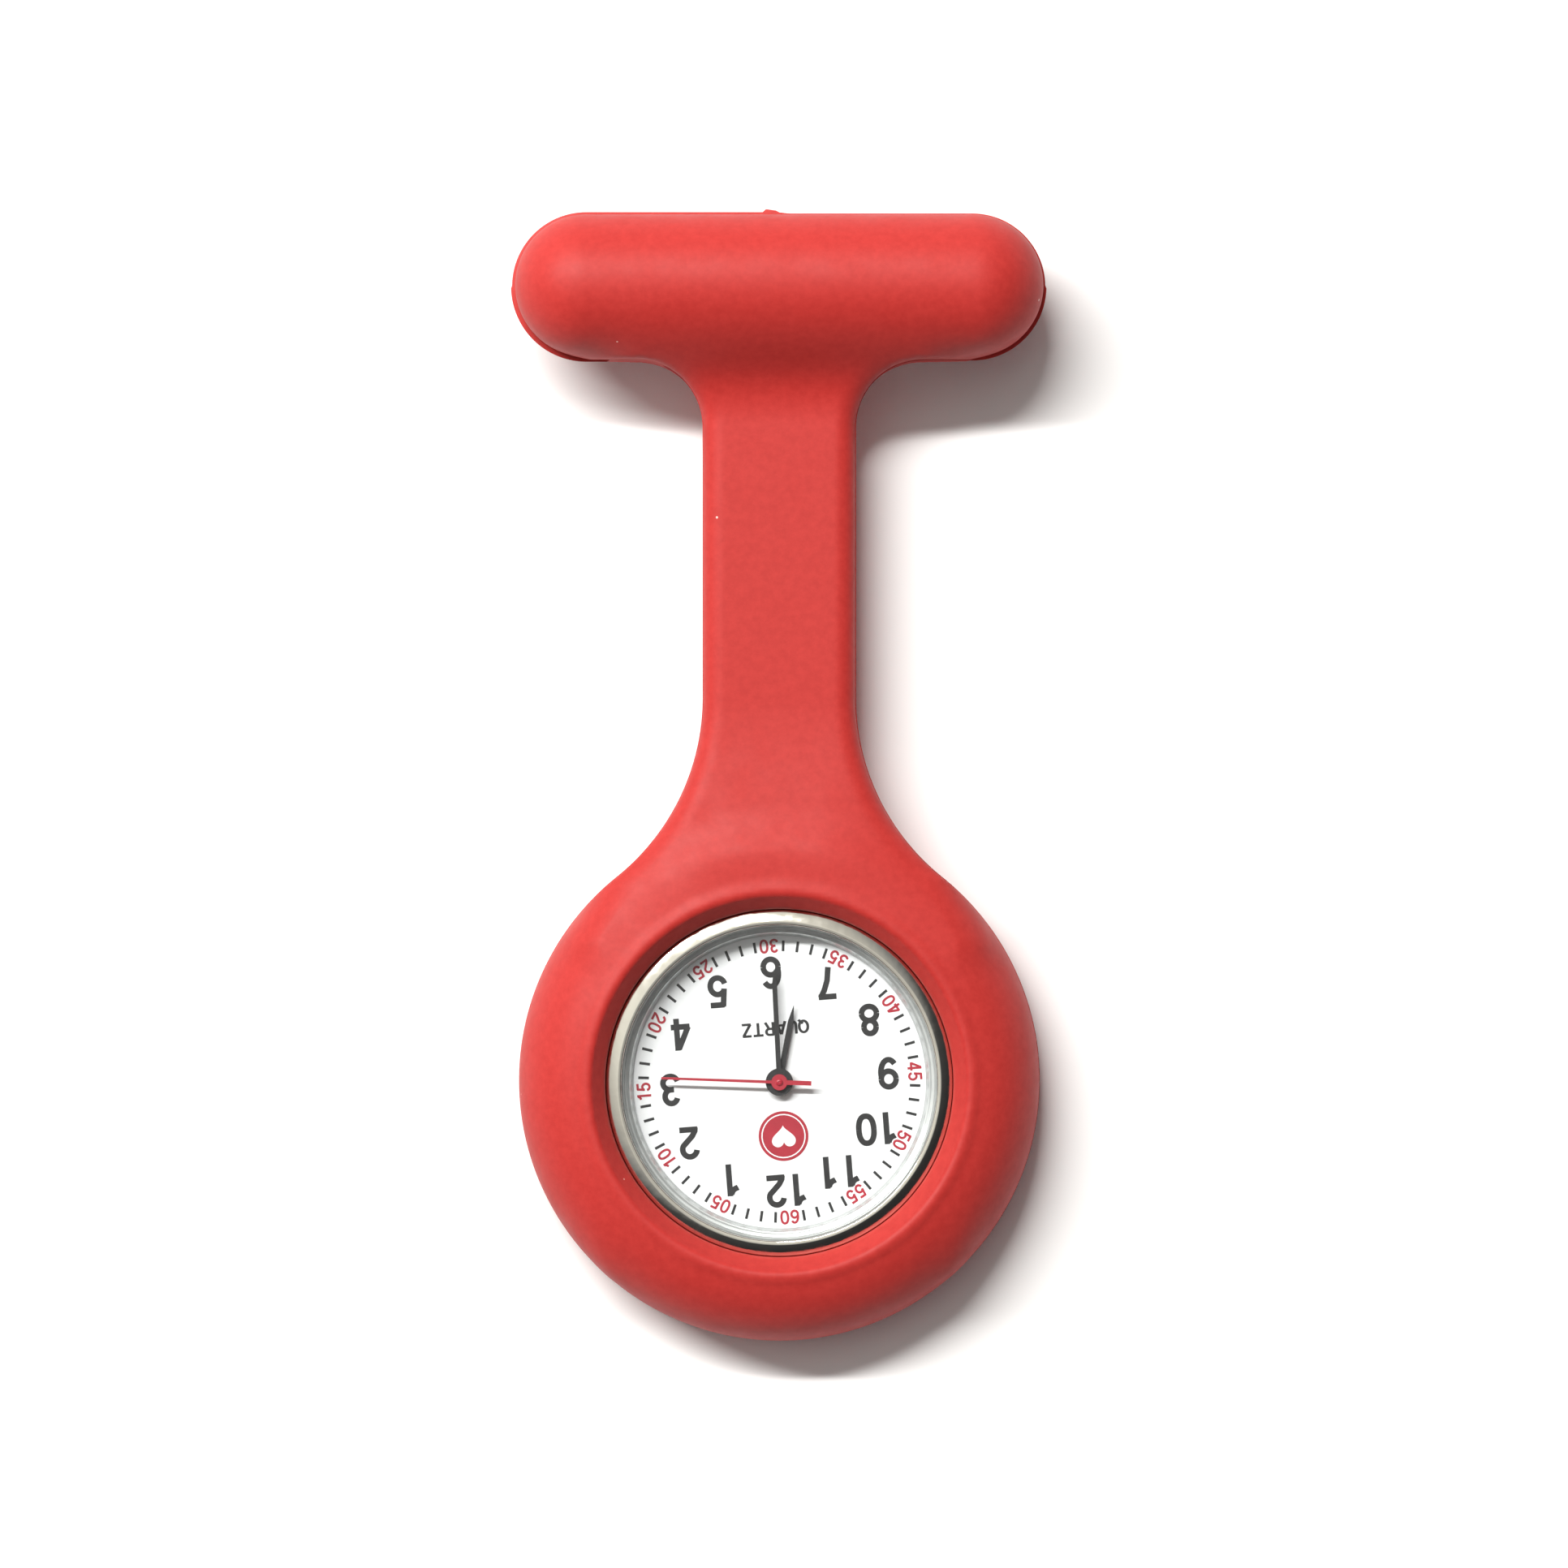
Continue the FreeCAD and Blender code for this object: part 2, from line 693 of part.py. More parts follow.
def safety_barrel():
    """A slotted barrel that rolls inside the stand, with a collar at each end and a thumb tab."""
    start, end, z = -size.barrel_end, -size.barrel_start, size.needle_height
    outer_collar = -size.catch_end - size.barrel_gap - start
    inner_collar = end - (-size.catch_start + size.barrel_gap)
    whole = fused("barrel_whole", [
        rod("barrel_round", size.barrel_radius, end - start, start, 0.0, z, "X"),
        rod("collar_outer", size.barrel_collar_radius, outer_collar, start, 0.0, z, "X"),
        rod("collar_inner", size.barrel_collar_radius, inner_collar, end - inner_collar, 0.0, z, "X"),
        block("barrel_tab", (start, size.barrel_bore * 2, z - size.barrel_bore / 2),
              (start + outer_collar, size.barrel_tab_reach, z + size.barrel_bore / 2)),
    ])
    slot = size.barrel_slot_half
    tools = [
        rod("barrel_hole", size.barrel_bore, (end - start) * 2, start - 1, 0.0, z, "X"),
        block("barrel_slot", (start - 1, -slot, z - size.catch_radius), (end + 1, slot, z)),
    ]
    node(place(cut("barrel", whole, tools), y=BAR_Y), "safety_barrel")


# ---------------------------------------------------------------- watch case

def case_back():
    back = turned("back", [
        (0.0, size.seat_bottom),
        (size.case_back_radius, size.seat_bottom),
        (size.case_back_radius, size.case_back_top),
        (size.back_rim_outer, size.case_back_top),
        (size.back_rim_outer, size.back_rim_top),
        (size.back_rim_inner, size.back_rim_top),
        (size.back_rim_inner, size.case_back_top),
        (0.0, size.case_back_top),
    ])
    node(in_head(back), "case_back")


def case_back_gasket():
    ring = doc.addObject("Part::Torus", "back_gasket")
    bind(ring, "Radius1", size.back_gasket_radius)
    bind(ring, "Radius2", size.back_gasket_section)
    in_head(ring)
    bind(ring, "Placement.Base.z", size.back_gasket_height)
    node(ring, "case_back_gasket")


def case_body():
    case = turned("case_turned", [
        (size.case_back_bore, size.case_back_top),
        (size.case_radius, size.case_back_top),
        (size.case_radius, size.case_flare_start),
        (size.case_neck, size.case_flare_end),
        (size.case_neck, size.case_top),
        (size.flange_bore, size.case_top),
        (size.flange_bore, size.dial_top),
        (size.dial_seat_radius, size.dial_top),
        (size.dial_seat_radius, size.dial_bottom),
        (size.case_bore, size.dial_bottom),
        (size.case_bore, size.case_back_bore_top),
        (size.case_back_bore, size.case_back_bore_top),
    ])
    hole = rod("case_stem_hole", size.stem_hole, size.case_radius, 1.0, 0.0, size.stem_height, "X")
    node(in_head(cut("case", case, [hole])), "case_body")


def bezel():
    rounding = size.bezel_top - size.bezel_shoulder
    ring = turned("bezel_ring", [
        (size.case_neck, size.bezel_bottom),
        (size.bezel_radius, size.bezel_bottom),
        (size.bezel_radius, size.bezel_shoulder, rounding, -1),
        (size.bezel_radius - rounding, size.bezel_top),
        (size.bezel_inner, size.bezel_top - size.bezel_inner_fall),
        (size.bezel_inner, size.case_top),
        (size.case_neck, size.case_top),
    ])
    node(in_head(ring), "bezel")


def crystal():
    radius, bevel = size.crystal_radius, size.crystal_bevel
    disc = turned("crystal_disc", [
        (0.0, size.crystal_bottom),
        (radius, size.crystal_bottom),
        (radius, size.crystal_top - bevel),
        (radius - bevel, size.crystal_top),
        (0.0, size.crystal_top),
    ])
    node(in_head(disc), "crystal")
    seal = turned("crystal_seal", [
        (radius, size.crystal_bottom),
        (size.bezel_inner, size.crystal_bottom),
        (size.bezel_inner, size.crystal_top - bevel),
        (radius, size.crystal_top - bevel),
    ])
    node(in_head(seal), "crystal_gasket")


def dial():
    feet = []
    for angle in DIAL_FOOT_ANGLES:
        place_of_foot = polar(number(size.dial_foot_distance), angle)
        feet.append(rod("dial_foot", size.dial_foot_radius, size.dial_bottom - size.dial_foot_bottom,
                        place_of_foot.x, place_of_foot.y, size.dial_foot_bottom))
    disc = rod("dial_disc", size.dial_radius, size.dial_top - size.dial_bottom, z=size.dial_bottom)
    hole = rod("dial_centre_hole", size.dial_hole, size.dial_top, z=size.dial_bottom - 1)
    node(in_head(fused("dial_whole", [cut("dial_cut", disc, [hole])] + feet)), "dial")


def inner_flange():
    """The sloping grey ring between the dial and the crystal."""
    inner, outer = size.flange_inner, size.flange_outer
    ring = turned("flange", [
        (inner, size.dial_top),
        (outer, size.dial_top),
        (outer, size.case_top),
        (outer - 0.4, size.case_top),
        (outer - 0.5, size.case_top - 0.5),
        (inner + 0.25, size.case_top - 0.65),
        (inner, size.dial_top + 0.3),
    ])
    node(in_head(ring), "inner_flange")


# ---------------------------------------------------------------- hands

def hand_blade(name, length, half_width, height):
    """A pointed blade along +Y from the centre."""
    shoulder = length - half_width * 6
    return padded(name, [
        (-half_width, 0.0),
        (half_width, 0.0),
        (half_width, shoulder),
        (0.0, length),
        (-half_width, shoulder),
    ], height, height + size.hand_thickness)


def hour_hand():
    height = size.hour_hand_height
    blade = hand_blade("hour_blade", size.hour_hand_length, size.hour_hand_half_width, height)
    boss = rod("hour_boss", size.hour_boss, size.hand_thickness, z=height)
    hole = rod("hour_boss_hole", HOUR_TUBE_RADIUS, 1.0, z=height - 0.5)
    hand = cut("hour_cut", fused("hour_whole", [blade, boss]), [hole])
    node(in_head(hand, spin=-HOUR_ANGLE), "hour_hand")


def minute_hand():
    height = size.minute_hand_height
    blade = hand_blade("minute_blade", size.minute_hand_length, size.minute_hand_half_width, height)
    boss = rod("minute_boss", size.minute_boss, size.hand_thickness, z=height)
    hole = rod("minute_boss_hole", CANNON_RADIUS, 1.0, z=height - 0.5)
    hand = cut("minute_cut", fused("minute_whole", [blade, boss]), [hole])
    node(in_head(hand, spin=-MINUTE_ANGLE), "minute_hand")


def second_hand():
    height, half = size.second_hand_height, size.second_hand_half_width
    tail_half = size.second_tail_half_width
    blade = padded("second_blade", [
        (-tail_half, -size.second_hand_tail),
        (tail_half, -size.second_hand_tail),
        (half, 0.0),
        (half, size.second_hand_length),
        (-half, size.second_hand_length),
        (-half, 0.0),
    ], height, height + size.hand_thickness)
    boss = rod("second_boss", size.second_boss, size.hand_thickness, z=height)
    pipe_length = size.hand_thickness * 2
    pipe = rod("second_pipe", size.second_boss / 2, pipe_length, z=height - pipe_length)
    hole = rod("second_hole", ARBOR_RADIUS, 1.0, z=height - 0.9)
    hand = cut("second_cut", fused("second_whole", [blade, boss, pipe]), [hole])
    node(in_head(hand, spin=-SECOND_ANGLE), "second_hand")


# ---------------------------------------------------------------- crown and keyless works

def crown_and_stem():
    z = number(size.stem_height)
    flutes = toothed_disc(28, 0.088, 0.0, number(size.crown_end - size.crown_start))
    rim = Part.makeCylinder(number(size.crown_radius), number(size.crown_end - size.crown_start))
    head = flutes.common(rim)
    head.Placement = FreeCAD.Placement(V(number(size.crown_start), 0, z), FreeCAD.Rotation(V(0, 1, 0), 90))
    node(in_head(formed("crown_head", [head])), "crown")
    groove_start, groove_end = size.stem_groove_start, size.stem_groove_end
    stem = fused("stem_whole", [
        rod("stem_inner", size.stem_radius, groove_start - size.stem_inner_end,
            size.stem_inner_end, 0.0, size.stem_height, "X"),
        rod("stem_neck", size.stem_groove_radius, groove_end - groove_start,
            groove_start, 0.0, size.stem_height, "X"),
        rod("stem_outer", size.stem_radius, size.crown_start - groove_end,
            groove_end, 0.0, size.stem_height, "X"),
    ])
    node(in_head(stem), "stem")


def crown_gasket():
    """The seal around the stem, in the case wall."""
    start, length = size.crown_gasket_start, size.crown_gasket_length
    ring = rod("crown_ring", size.stem_hole, length, start, 0.0, size.stem_height, "X")
    hole = rod("crown_ring_hole", size.crown_gasket_bore, length * 3,
               start - length, 0.0, size.stem_height, "X")
    node(in_head(cut("crown_seal", ring, [hole])), "crown_gasket")


def clutch_pinion():
    z = number(size.stem_height)
    start, end = number(size.clutch_start), number(size.clutch_end)
    low, high = number(size.clutch_groove_start) - start, number(size.clutch_groove_end) - start
    bore, radius = number(size.clutch_bore), number(size.clutch_radius)
    shapes = [
        toothed_disc(14, 0.095, 0.0, low, bore=bore),
        tube(number(size.clutch_groove_radius), low, high, bore),
        tube(radius, high, end - start, bore),
    ]
    joined = shapes[0].multiFuse(shapes[1:])
    joined.Placement = FreeCAD.Placement(V(start, 0, z), FreeCAD.Rotation(V(0, 1, 0), 90))
    node(in_head(formed("clutch", [joined])), "clutch_pinion")


def setting_lever():
    """A small lever on the main plate's stud, with a pin in the stem's groove."""
    pivot, pin = V(*LEVER_PIVOT, 0), V(*LEVER_PIN, 0)
    arm = lever_arm(pivot, pin, LEVER_PIVOT_RADIUS, LEVER_TIP_RADIUS, LEVER_BOTTOM, LEVER_TOP)
    post = Part.makeCylinder(LEVER_PIN_RADIUS, LEVER_PIN_LENGTH, pin + V(0, 0, LEVER_TOP))
    hole = Part.makeCylinder(LEVER_BORE, 1, pivot + V(0, 0, LEVER_BOTTOM - 0.3))
    node(in_head(formed("lever", [arm.fuse(post).cut(hole)])), "setting_lever")


def lever_arm(first, last, first_radius, last_radius, bottom, top):
    """A flat arm with round ends from one centre to another."""
    along = (last - first).normalize()
    across = V(-along.y, along.x, 0)
    corners = [first + across * first_radius, last + across * last_radius,
               last - across * last_radius, first - across * first_radius]
    corners = [corner + V(0, 0, bottom) for corner in corners]
    web = Part.Face(Part.makePolygon(corners + corners[:1])).extrude(V(0, 0, top - bottom))
    ends = [Part.makeCylinder(radius, top - bottom, centre + V(0, 0, bottom))
            for centre, radius in ((first, first_radius), (last, last_radius))]
    return web.multiFuse(ends).removeSplitter()


def yoke():
    """The spring lever whose finger stands in the clutch pinion's groove."""
    pivot = V(*YOKE_PIVOT, 0)
    groove = number(size.clutch_groove_start + size.clutch_groove_end) / 2
    tip = V(groove, YOKE_TIP_Y, 0)
    arm = lever_arm(pivot, tip, LEVER_PIVOT_RADIUS, YOKE_TIP_RADIUS, YOKE_BOTTOM, YOKE_TOP)
    finger = Part.makeBox(*YOKE_FINGER, tip + V(-YOKE_FINGER[0] / 2, -0.15, YOKE_TOP))
    stud_length = number(size.plate_bottom) - YOKE_BOTTOM
    stud = Part.makeCylinder(YOKE_TIP_RADIUS, stud_length, pivot + V(0, 0, YOKE_BOTTOM))
    node(in_head(formed("yoke_lever", [arm, finger, stud])), "yoke")


# ---------------------------------------------------------------- movement

def clamp_ends():
    """Where the battery clamp's two screws stand."""
    centre = polar(number(size.battery_distance), number(size.battery_angle))
    across = polar(number(size.clamp_reach), number(size.battery_angle) + 90)
    return [centre + across, centre - across]


def main_plate():
    bottom, top, radius = size.plate_bottom, size.plate_top, size.pillar_radius
    pieces = [rod("plate_disc", size.movement_radius, top - bottom, z=bottom)]
    holes = [rod("plate_centre_hole", 0.5, 3.0, z=bottom - 1)]
    for angle in PILLAR_ANGLES:
        spot = polar(number(size.pillar_distance), angle)
        pieces.append(rod("pillar", radius, bottom - size.bridge_top, spot.x, spot.y, size.bridge_top))
        holes.append(rod("pillar_hole", radius / 2, 1.0, spot.x, spot.y, size.bridge_top))
    for spot in clamp_ends():
        foot = size.battery_bottom
        pieces.append(rod("clamp_pillar", radius, bottom - foot, spot.x, spot.y, foot))
        holes.append(rod("clamp_hole", radius / 2, 1.2, spot.x, spot.y, foot))
    for angle in BOARD_SCREW_ANGLES:
        spot = polar(BOARD_SCREW_DISTANCE, angle)
        pieces.append(rod("board_pillar", radius, bottom - size.board_top, spot.x, spot.y, size.board_top))
        holes.append(rod("board_hole", radius / 2, 1.0, spot.x, spot.y, size.board_top))
    for angle in DIAL_FOOT_ANGLES:
        spot = polar(number(size.dial_foot_distance), angle)
        holes.append(rod("foot_hole", size.dial_foot_radius, 1.0, spot.x, spot.y, size.dial_foot_bottom))
    for distance, angle in ((TRAIN_DISTANCE, THIRD_ANGLE), (TRAIN_DISTANCE, FIFTH_ANGLE),
                            (ROTOR_DISTANCE, FIFTH_ANGLE)):
        spot = polar(distance, angle)
        holes.append(rod("pivot_hole", PIVOT_HOLE, 0.4, spot.x, spot.y, bottom - 0.1))
    cell = polar(number(size.battery_distance), number(size.battery_angle))
    holes.append(rod("battery_hole", size.battery_radius + 0.1, 4.0, cell.x, cell.y, bottom - 1))
    holes.append(block("clutch_window", (size.clutch_start - 0.2, -size.clutch_radius - 0.1, bottom - 1),
                       (size.clutch_end + 0.2, size.clutch_radius + 0.1, top + 1)))
    plate = cut("plate_cut", fused("plate_whole", pieces), holes)
    wheel = polar(TRAIN_DISTANCE, MINUTE_WHEEL_ANGLE)
    studs = [rod("minute_wheel_stud", MINUTE_STUD_RADIUS, 0.65, wheel.x, wheel.y, top - 0.1),
             rod("lever_stud", LEVER_STUD_RADIUS, bottom - LEVER_STUD_BOTTOM,
                 *LEVER_PIVOT, LEVER_STUD_BOTTOM)]
    node(in_head(fused("plate_studs", [plate] + studs)), "main_plate")


def train_bridge():
    bottom, height = size.bridge_bottom, size.bridge_top - size.bridge_bottom
    cell = polar(number(size.battery_distance), number(size.battery_angle))
    holes = [rod("bridge_battery_gap", size.battery_radius + 0.1, 2.0, cell.x, cell.y, bottom - 1),
             rod("bridge_centre_hole", PIVOT_HOLE, 2.0, z=bottom - 1)]
    for angle in PILLAR_ANGLES:
        spot = polar(number(size.pillar_distance), angle)
        holes.append(rod("bridge_screw_hole", size.pillar_radius / 2, 2.0, spot.x, spot.y, bottom - 1))
    for distance, angle in ((TRAIN_DISTANCE, THIRD_ANGLE), (TRAIN_DISTANCE, FIFTH_ANGLE),
                            (ROTOR_DISTANCE, FIFTH_ANGLE)):
        spot = polar(distance, angle)
        holes.append(rod("bridge_pivot_hole", PIVOT_HOLE, 2.0, spot.x, spot.y, bottom - 1))
    disc = rod("bridge_disc", size.bridge_radius, height, z=bottom)
    node(in_head(cut("bridge", disc, holes)), "train_bridge")


def movement_holder():
    ring = turned("holder_ring", [
        (size.holder_inner, size.holder_bottom),
        (size.holder_outer, size.holder_bottom),
        (size.holder_outer, size.holder_top),
        (size.holder_inner, size.holder_top),
    ])
    hole = rod("holder_stem_hole", size.stem_hole, size.case_radius, 1.0, 0.0, size.stem_height, "X")
    node(in_head(cut("holder", ring, [hole])), "movement_holder")


def circuit_board():
    """A crescent of circuit board beside the train."""
    inner, outer = number(size.board_inner), number(size.board_outer)
    bottom, top = number(size.board_bottom), number(size.board_top)
    sector = [polar(radius, angle) for radius, angle in
              ((inner, 30), (outer, 30), (outer, 95), (outer, 160), (inner, 160), (inner, 95))]
    edges = [Part.LineSegment(sector[0], sector[1]), Part.Arc(sector[1], sector[2], sector[3]),
             Part.LineSegment(sector[3], sector[4]), Part.Arc(sector[4], sector[5], sector[0])]
    board = Part.Face(Part.Wire([edge.toShape() for edge in edges])).extrude(V(0, 0, top - bottom))
    board.translate(V(0, 0, bottom))
    radius, below = number(size.pillar_radius) / 2, V(0, 0, bottom - 0.5)
    holes = [Part.makeCylinder(radius, 1, polar(BOARD_SCREW_DISTANCE, angle) + below)
             for angle in BOARD_SCREW_ANGLES]
    node(in_head(formed("board", [board.cut(holes)])), "circuit_board")


def quartz_can():
    """The timing crystal's can with its two leads, above the board."""
    distance, half = size.quartz_distance, size.quartz_length / 2
    height = size.board_top + size.quartz_radius
    pieces = [rod("quartz", size.quartz_radius, half * 2, -half, distance, height, "X")]
    for side in (-1, 1):
        pieces.append(rod("quartz_lead", size.quartz_lead_radius, size.quartz_lead_length,
                          half, distance + size.quartz_lead_spacing * side, height, "X"))
    node(in_head(fused("quartz_whole", pieces), spin=-32.0), "quartz_can")


def coil_and_stator():
    """The motor's coil on its core, and the stator plate around the rotor."""
    half, height = size.coil_length / 2, size.coil_height
    core_half, thickness = 0.3, 0.3
    flange_radius = size.coil_radius + 0.05
    winding = [rod("coil_winding", size.coil_radius - 0.1, half * 2, -half, 0.0, height, "X")]
    for start in (-half, half - 0.3):
        winding.append(rod("coil_flange", flange_radius, 0.3, start, 0.0, height, "X"))
    bore = block("coil_bore", (-half - 1, -core_half, height - thickness / 2),
                 (half + 1, core_half, height + thickness / 2))
    coil = cut("coil_cut", fused("coil_whole", winding), [bore])
    node(in_head(coil, size.coil_distance, number(size.coil_angle), number(size.coil_angle) - 90), "coil")

    turn = number(size.coil_angle) - 90
    low, high = number(height) - thickness / 2, number(height) + thickness / 2
    rotor = polar(ROTOR_DISTANCE, FIFTH_ANGLE - turn)
    reach, end = number(size.coil_distance), number(half) + 0.9
    leg_bottom = reach - 1.5
    bars = [Part.makeBox(2 * end, 2 * core_half, thickness, V(-end, reach - core_half, low)),
            Part.makeCylinder(1.13, thickness, rotor + V(0, 0, low))]
    for side in (-1, 1):
        leg = side * (end - 0.35)
        bars.append(Part.makeBox(0.7, 1.5, thickness, V(leg - 0.35, leg_bottom, low)))
        foot = V(leg, leg_bottom + 0.15, 0)
        bars.append(lever_arm(foot, rotor + V(side * 0.75, 0, 0), 0.35, 0.3, low, high))
    hole = Part.makeCylinder(0.75, 2, rotor + V(0, 0, low - 1))
    stator = bars[0].multiFuse(bars[1:]).cut(hole).removeSplitter()
    node(in_head(formed("stator_plate", [stator]), spin=turn), "stator")


def battery():
    radius, height = size.battery_radius, size.battery_height
    can = turned("battery_can", [
        (0.0, size.battery_bottom),
        (radius - 0.15, size.battery_bottom),
        (radius, size.battery_bottom + 0.15),
        (radius, size.battery_bottom + height * 0.75),
        (radius - 0.5, size.battery_bottom + height),
        (0.0, size.battery_bottom + height),
    ])
    node(in_head(can, size.battery_distance, number(size.battery_angle)), "battery")


def battery_clamp():
    """A spring strip that holds the battery and carries its current."""
    top = number(size.battery_bottom)
    bottom = top - number(size.clamp_thickness)
    ends = clamp_ends()
    width = number(size.clamp_half_width)
    strip = lever_arm(ends[0], ends[1], width, width, bottom, top)
    radius, below = number(size.pillar_radius) / 2, V(0, 0, bottom - 0.5)
    holes = [Part.makeCylinder(radius, 1, end + below) for end in ends]
    node(in_head(formed("clamp", [strip.cut(holes)])), "battery_clamp")


def movement_screws():
    """Seven equal screws: three on the bridge, two on the board and two on the battery clamp."""
    spots = [polar(number(size.pillar_distance), angle) + V(0, 0, number(size.bridge_bottom))
             for angle in PILLAR_ANGLES]
    spots += [polar(BOARD_SCREW_DISTANCE, angle) + V(0, 0, number(size.board_bottom))
              for angle in BOARD_SCREW_ANGLES]
    spots += [end + V(0, 0, number(size.battery_bottom - size.clamp_thickness)) for end in clamp_ends()]
    screws = []
    for spot in spots:
        shank = Part.makeCylinder(number(size.pillar_radius) / 2, SCREW_LENGTH, spot)
        head = Part.makeCylinder(SCREW_HEAD_RADIUS, SCREW_HEAD_HEIGHT, spot - V(0, 0, SCREW_HEAD_HEIGHT))
        slot_corner = V(SCREW_SLOT[0] / 2, SCREW_SLOT[1] / 2, SCREW_HEAD_HEIGHT + SCREW_SLOT[2] / 2)
        slot = Part.makeBox(*SCREW_SLOT, spot - slot_corner)
        screws.append(head.fuse(shank).cut(slot))
    feature = doc.addObject("Part::Feature", "screws")
    feature.Shape = Part.makeCompound(screws)
    node(in_head(feature), "movement_screws")


def toothed(name, angle, bore=0.0, windows=0):
    """A wheel or pinion of the train, with one tooth at an angle."""
    teeth, module, bottom, top = TEETH[name]
    return toothed_disc(teeth, module, bottom, top, angle, bore, windows)


def wheel_train():
    """Each mesh has a tooth of the first wheel pointing at a gap of the second."""
    third_gap = THIRD_ANGLE + 180.0 / TEETH["fourth_leaves"][0]
    third_back = THIRD_ANGLE + 180 + 180.0 / TEETH["third_leaves"][0]
    fifth_back = FIFTH_ANGLE + 180 + 180.0 / TEETH["fifth_leaves"][0]
    rotor_back = FIFTH_ANGLE + 180 + 180.0 / TEETH["rotor_leaves"][0]
    minute_back = MINUTE_WHEEL_ANGLE + 180 + 180.0 / TEETH["minute_wheel"][0]
    minute_leaf_back = MINUTE_WHEEL_ANGLE + 180 + 180.0 / TEETH["minute_leaves"][0]

    centre = toothed("centre_wheel", THIRD_ANGLE, CANNON_RADIUS, 4)
    node(in_head(formed("centre_disc", [centre])), "centre_wheel")
    cannon = [tube(CANNON_RADIUS, *CANNON_ENDS, CANNON_BORE),
              toothed("cannon_leaves", MINUTE_WHEEL_ANGLE, CANNON_BORE)]
    node(in_head(formed("cannon", cannon)), "cannon_pinion")

    third = [tube(ARBOR_RADIUS, *ARBOR_ENDS),
             toothed("third_leaves", third_back),
             toothed("third_wheel", THIRD_ANGLE + 180, windows=4)]
    node(in_head(formed("third", third), TRAIN_DISTANCE, THIRD_ANGLE), "third_wheel")
    fourth = [tube(ARBOR_RADIUS, *FOURTH_ARBOR_ENDS),
              toothed("fourth_leaves", third_gap),
              toothed("fourth_wheel", FIFTH_ANGLE, windows=4)]
    node(in_head(formed("fourth", fourth)), "fourth_wheel")
    fifth = [tube(ARBOR_RADIUS, *ARBOR_ENDS),
             toothed("fifth_leaves", fifth_back),
             toothed("fifth_wheel", FIFTH_ANGLE)]
    node(in_head(formed("fifth", fifth), TRAIN_DISTANCE, FIFTH_ANGLE), "fifth_wheel")
    rotor = [tube(ARBOR_RADIUS, *ARBOR_ENDS),
             tube(MAGNET_RADIUS, *MAGNET_ENDS),
             toothed("rotor_leaves", rotor_back)]
    node(in_head(formed("rotor_whole", rotor), ROTOR_DISTANCE, FIFTH_ANGLE), "rotor")

    minute = [toothed("minute_wheel", minute_back, MINUTE_WHEEL_BORE),
              tube(MINUTE_HUB_RADIUS, *MINUTE_HUB_ENDS, MINUTE_WHEEL_BORE),
              toothed("minute_leaves", minute_leaf_back, MINUTE_WHEEL_BORE)]
    node(in_head(formed("minute_whole", minute), TRAIN_DISTANCE, MINUTE_WHEEL_ANGLE), "minute_wheel")
    hour = [toothed("hour_wheel", MINUTE_WHEEL_ANGLE, HOUR_TUBE_BORE),
            tube(HOUR_TUBE_RADIUS, *HOUR_TUBE_ENDS, HOUR_TUBE_BORE)]
    node(in_head(formed("hour_whole", hour)), "hour_wheel")


def build():
    watch_ring()
    strap_flex_zone()
    top_bar()
    brooch_plate()
    brooch_hinge()
    pin_needle()
    catch_stand()
    safety_barrel()
    case_back()
    case_back_gasket()
    case_body()
    bezel()
    crystal()
    dial()
    inner_flange()
    hour_hand()
    minute_hand()
    second_hand()
    crown_and_stem()
    crown_gasket()
    clutch_pinion()
    setting_lever()
    yoke()
    main_plate()
    train_bridge()
    movement_holder()
    circuit_board()
    quartz_can()
    coil_and_stator()
    battery()
    battery_clamp()
    movement_screws()
    wheel_train()
    doc.recompute()


def check_and_write():
    """Stops on any failed object or bad shape, then writes one STEP file per sub-part."""
    for item in doc.Objects:
        if {"Invalid", "Error"} & set(item.State):
            raise RuntimeError(f"{item.Name} failed: {item.State}")
    for item in nodes:
        shape = item.Shape
        if shape.isNull() or not shape.isValid() or not shape.Solids:
            raise RuntimeError(f"{item.Label} has a bad shape")
        print(f"{item.Label}: {len(shape.Solids)} solid(s), {shape.Volume:.3f} mm3")
    os.makedirs("parts", exist_ok=True)
    for item in nodes:
        item.Shape.exportStep(f"parts/{item.Label}.step")


build()
check_and_write()
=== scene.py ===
import json
import math

import bpy
import numpy as np
import openvdb
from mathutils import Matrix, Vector
from mathutils.geometry import delaunay_2d_cdt


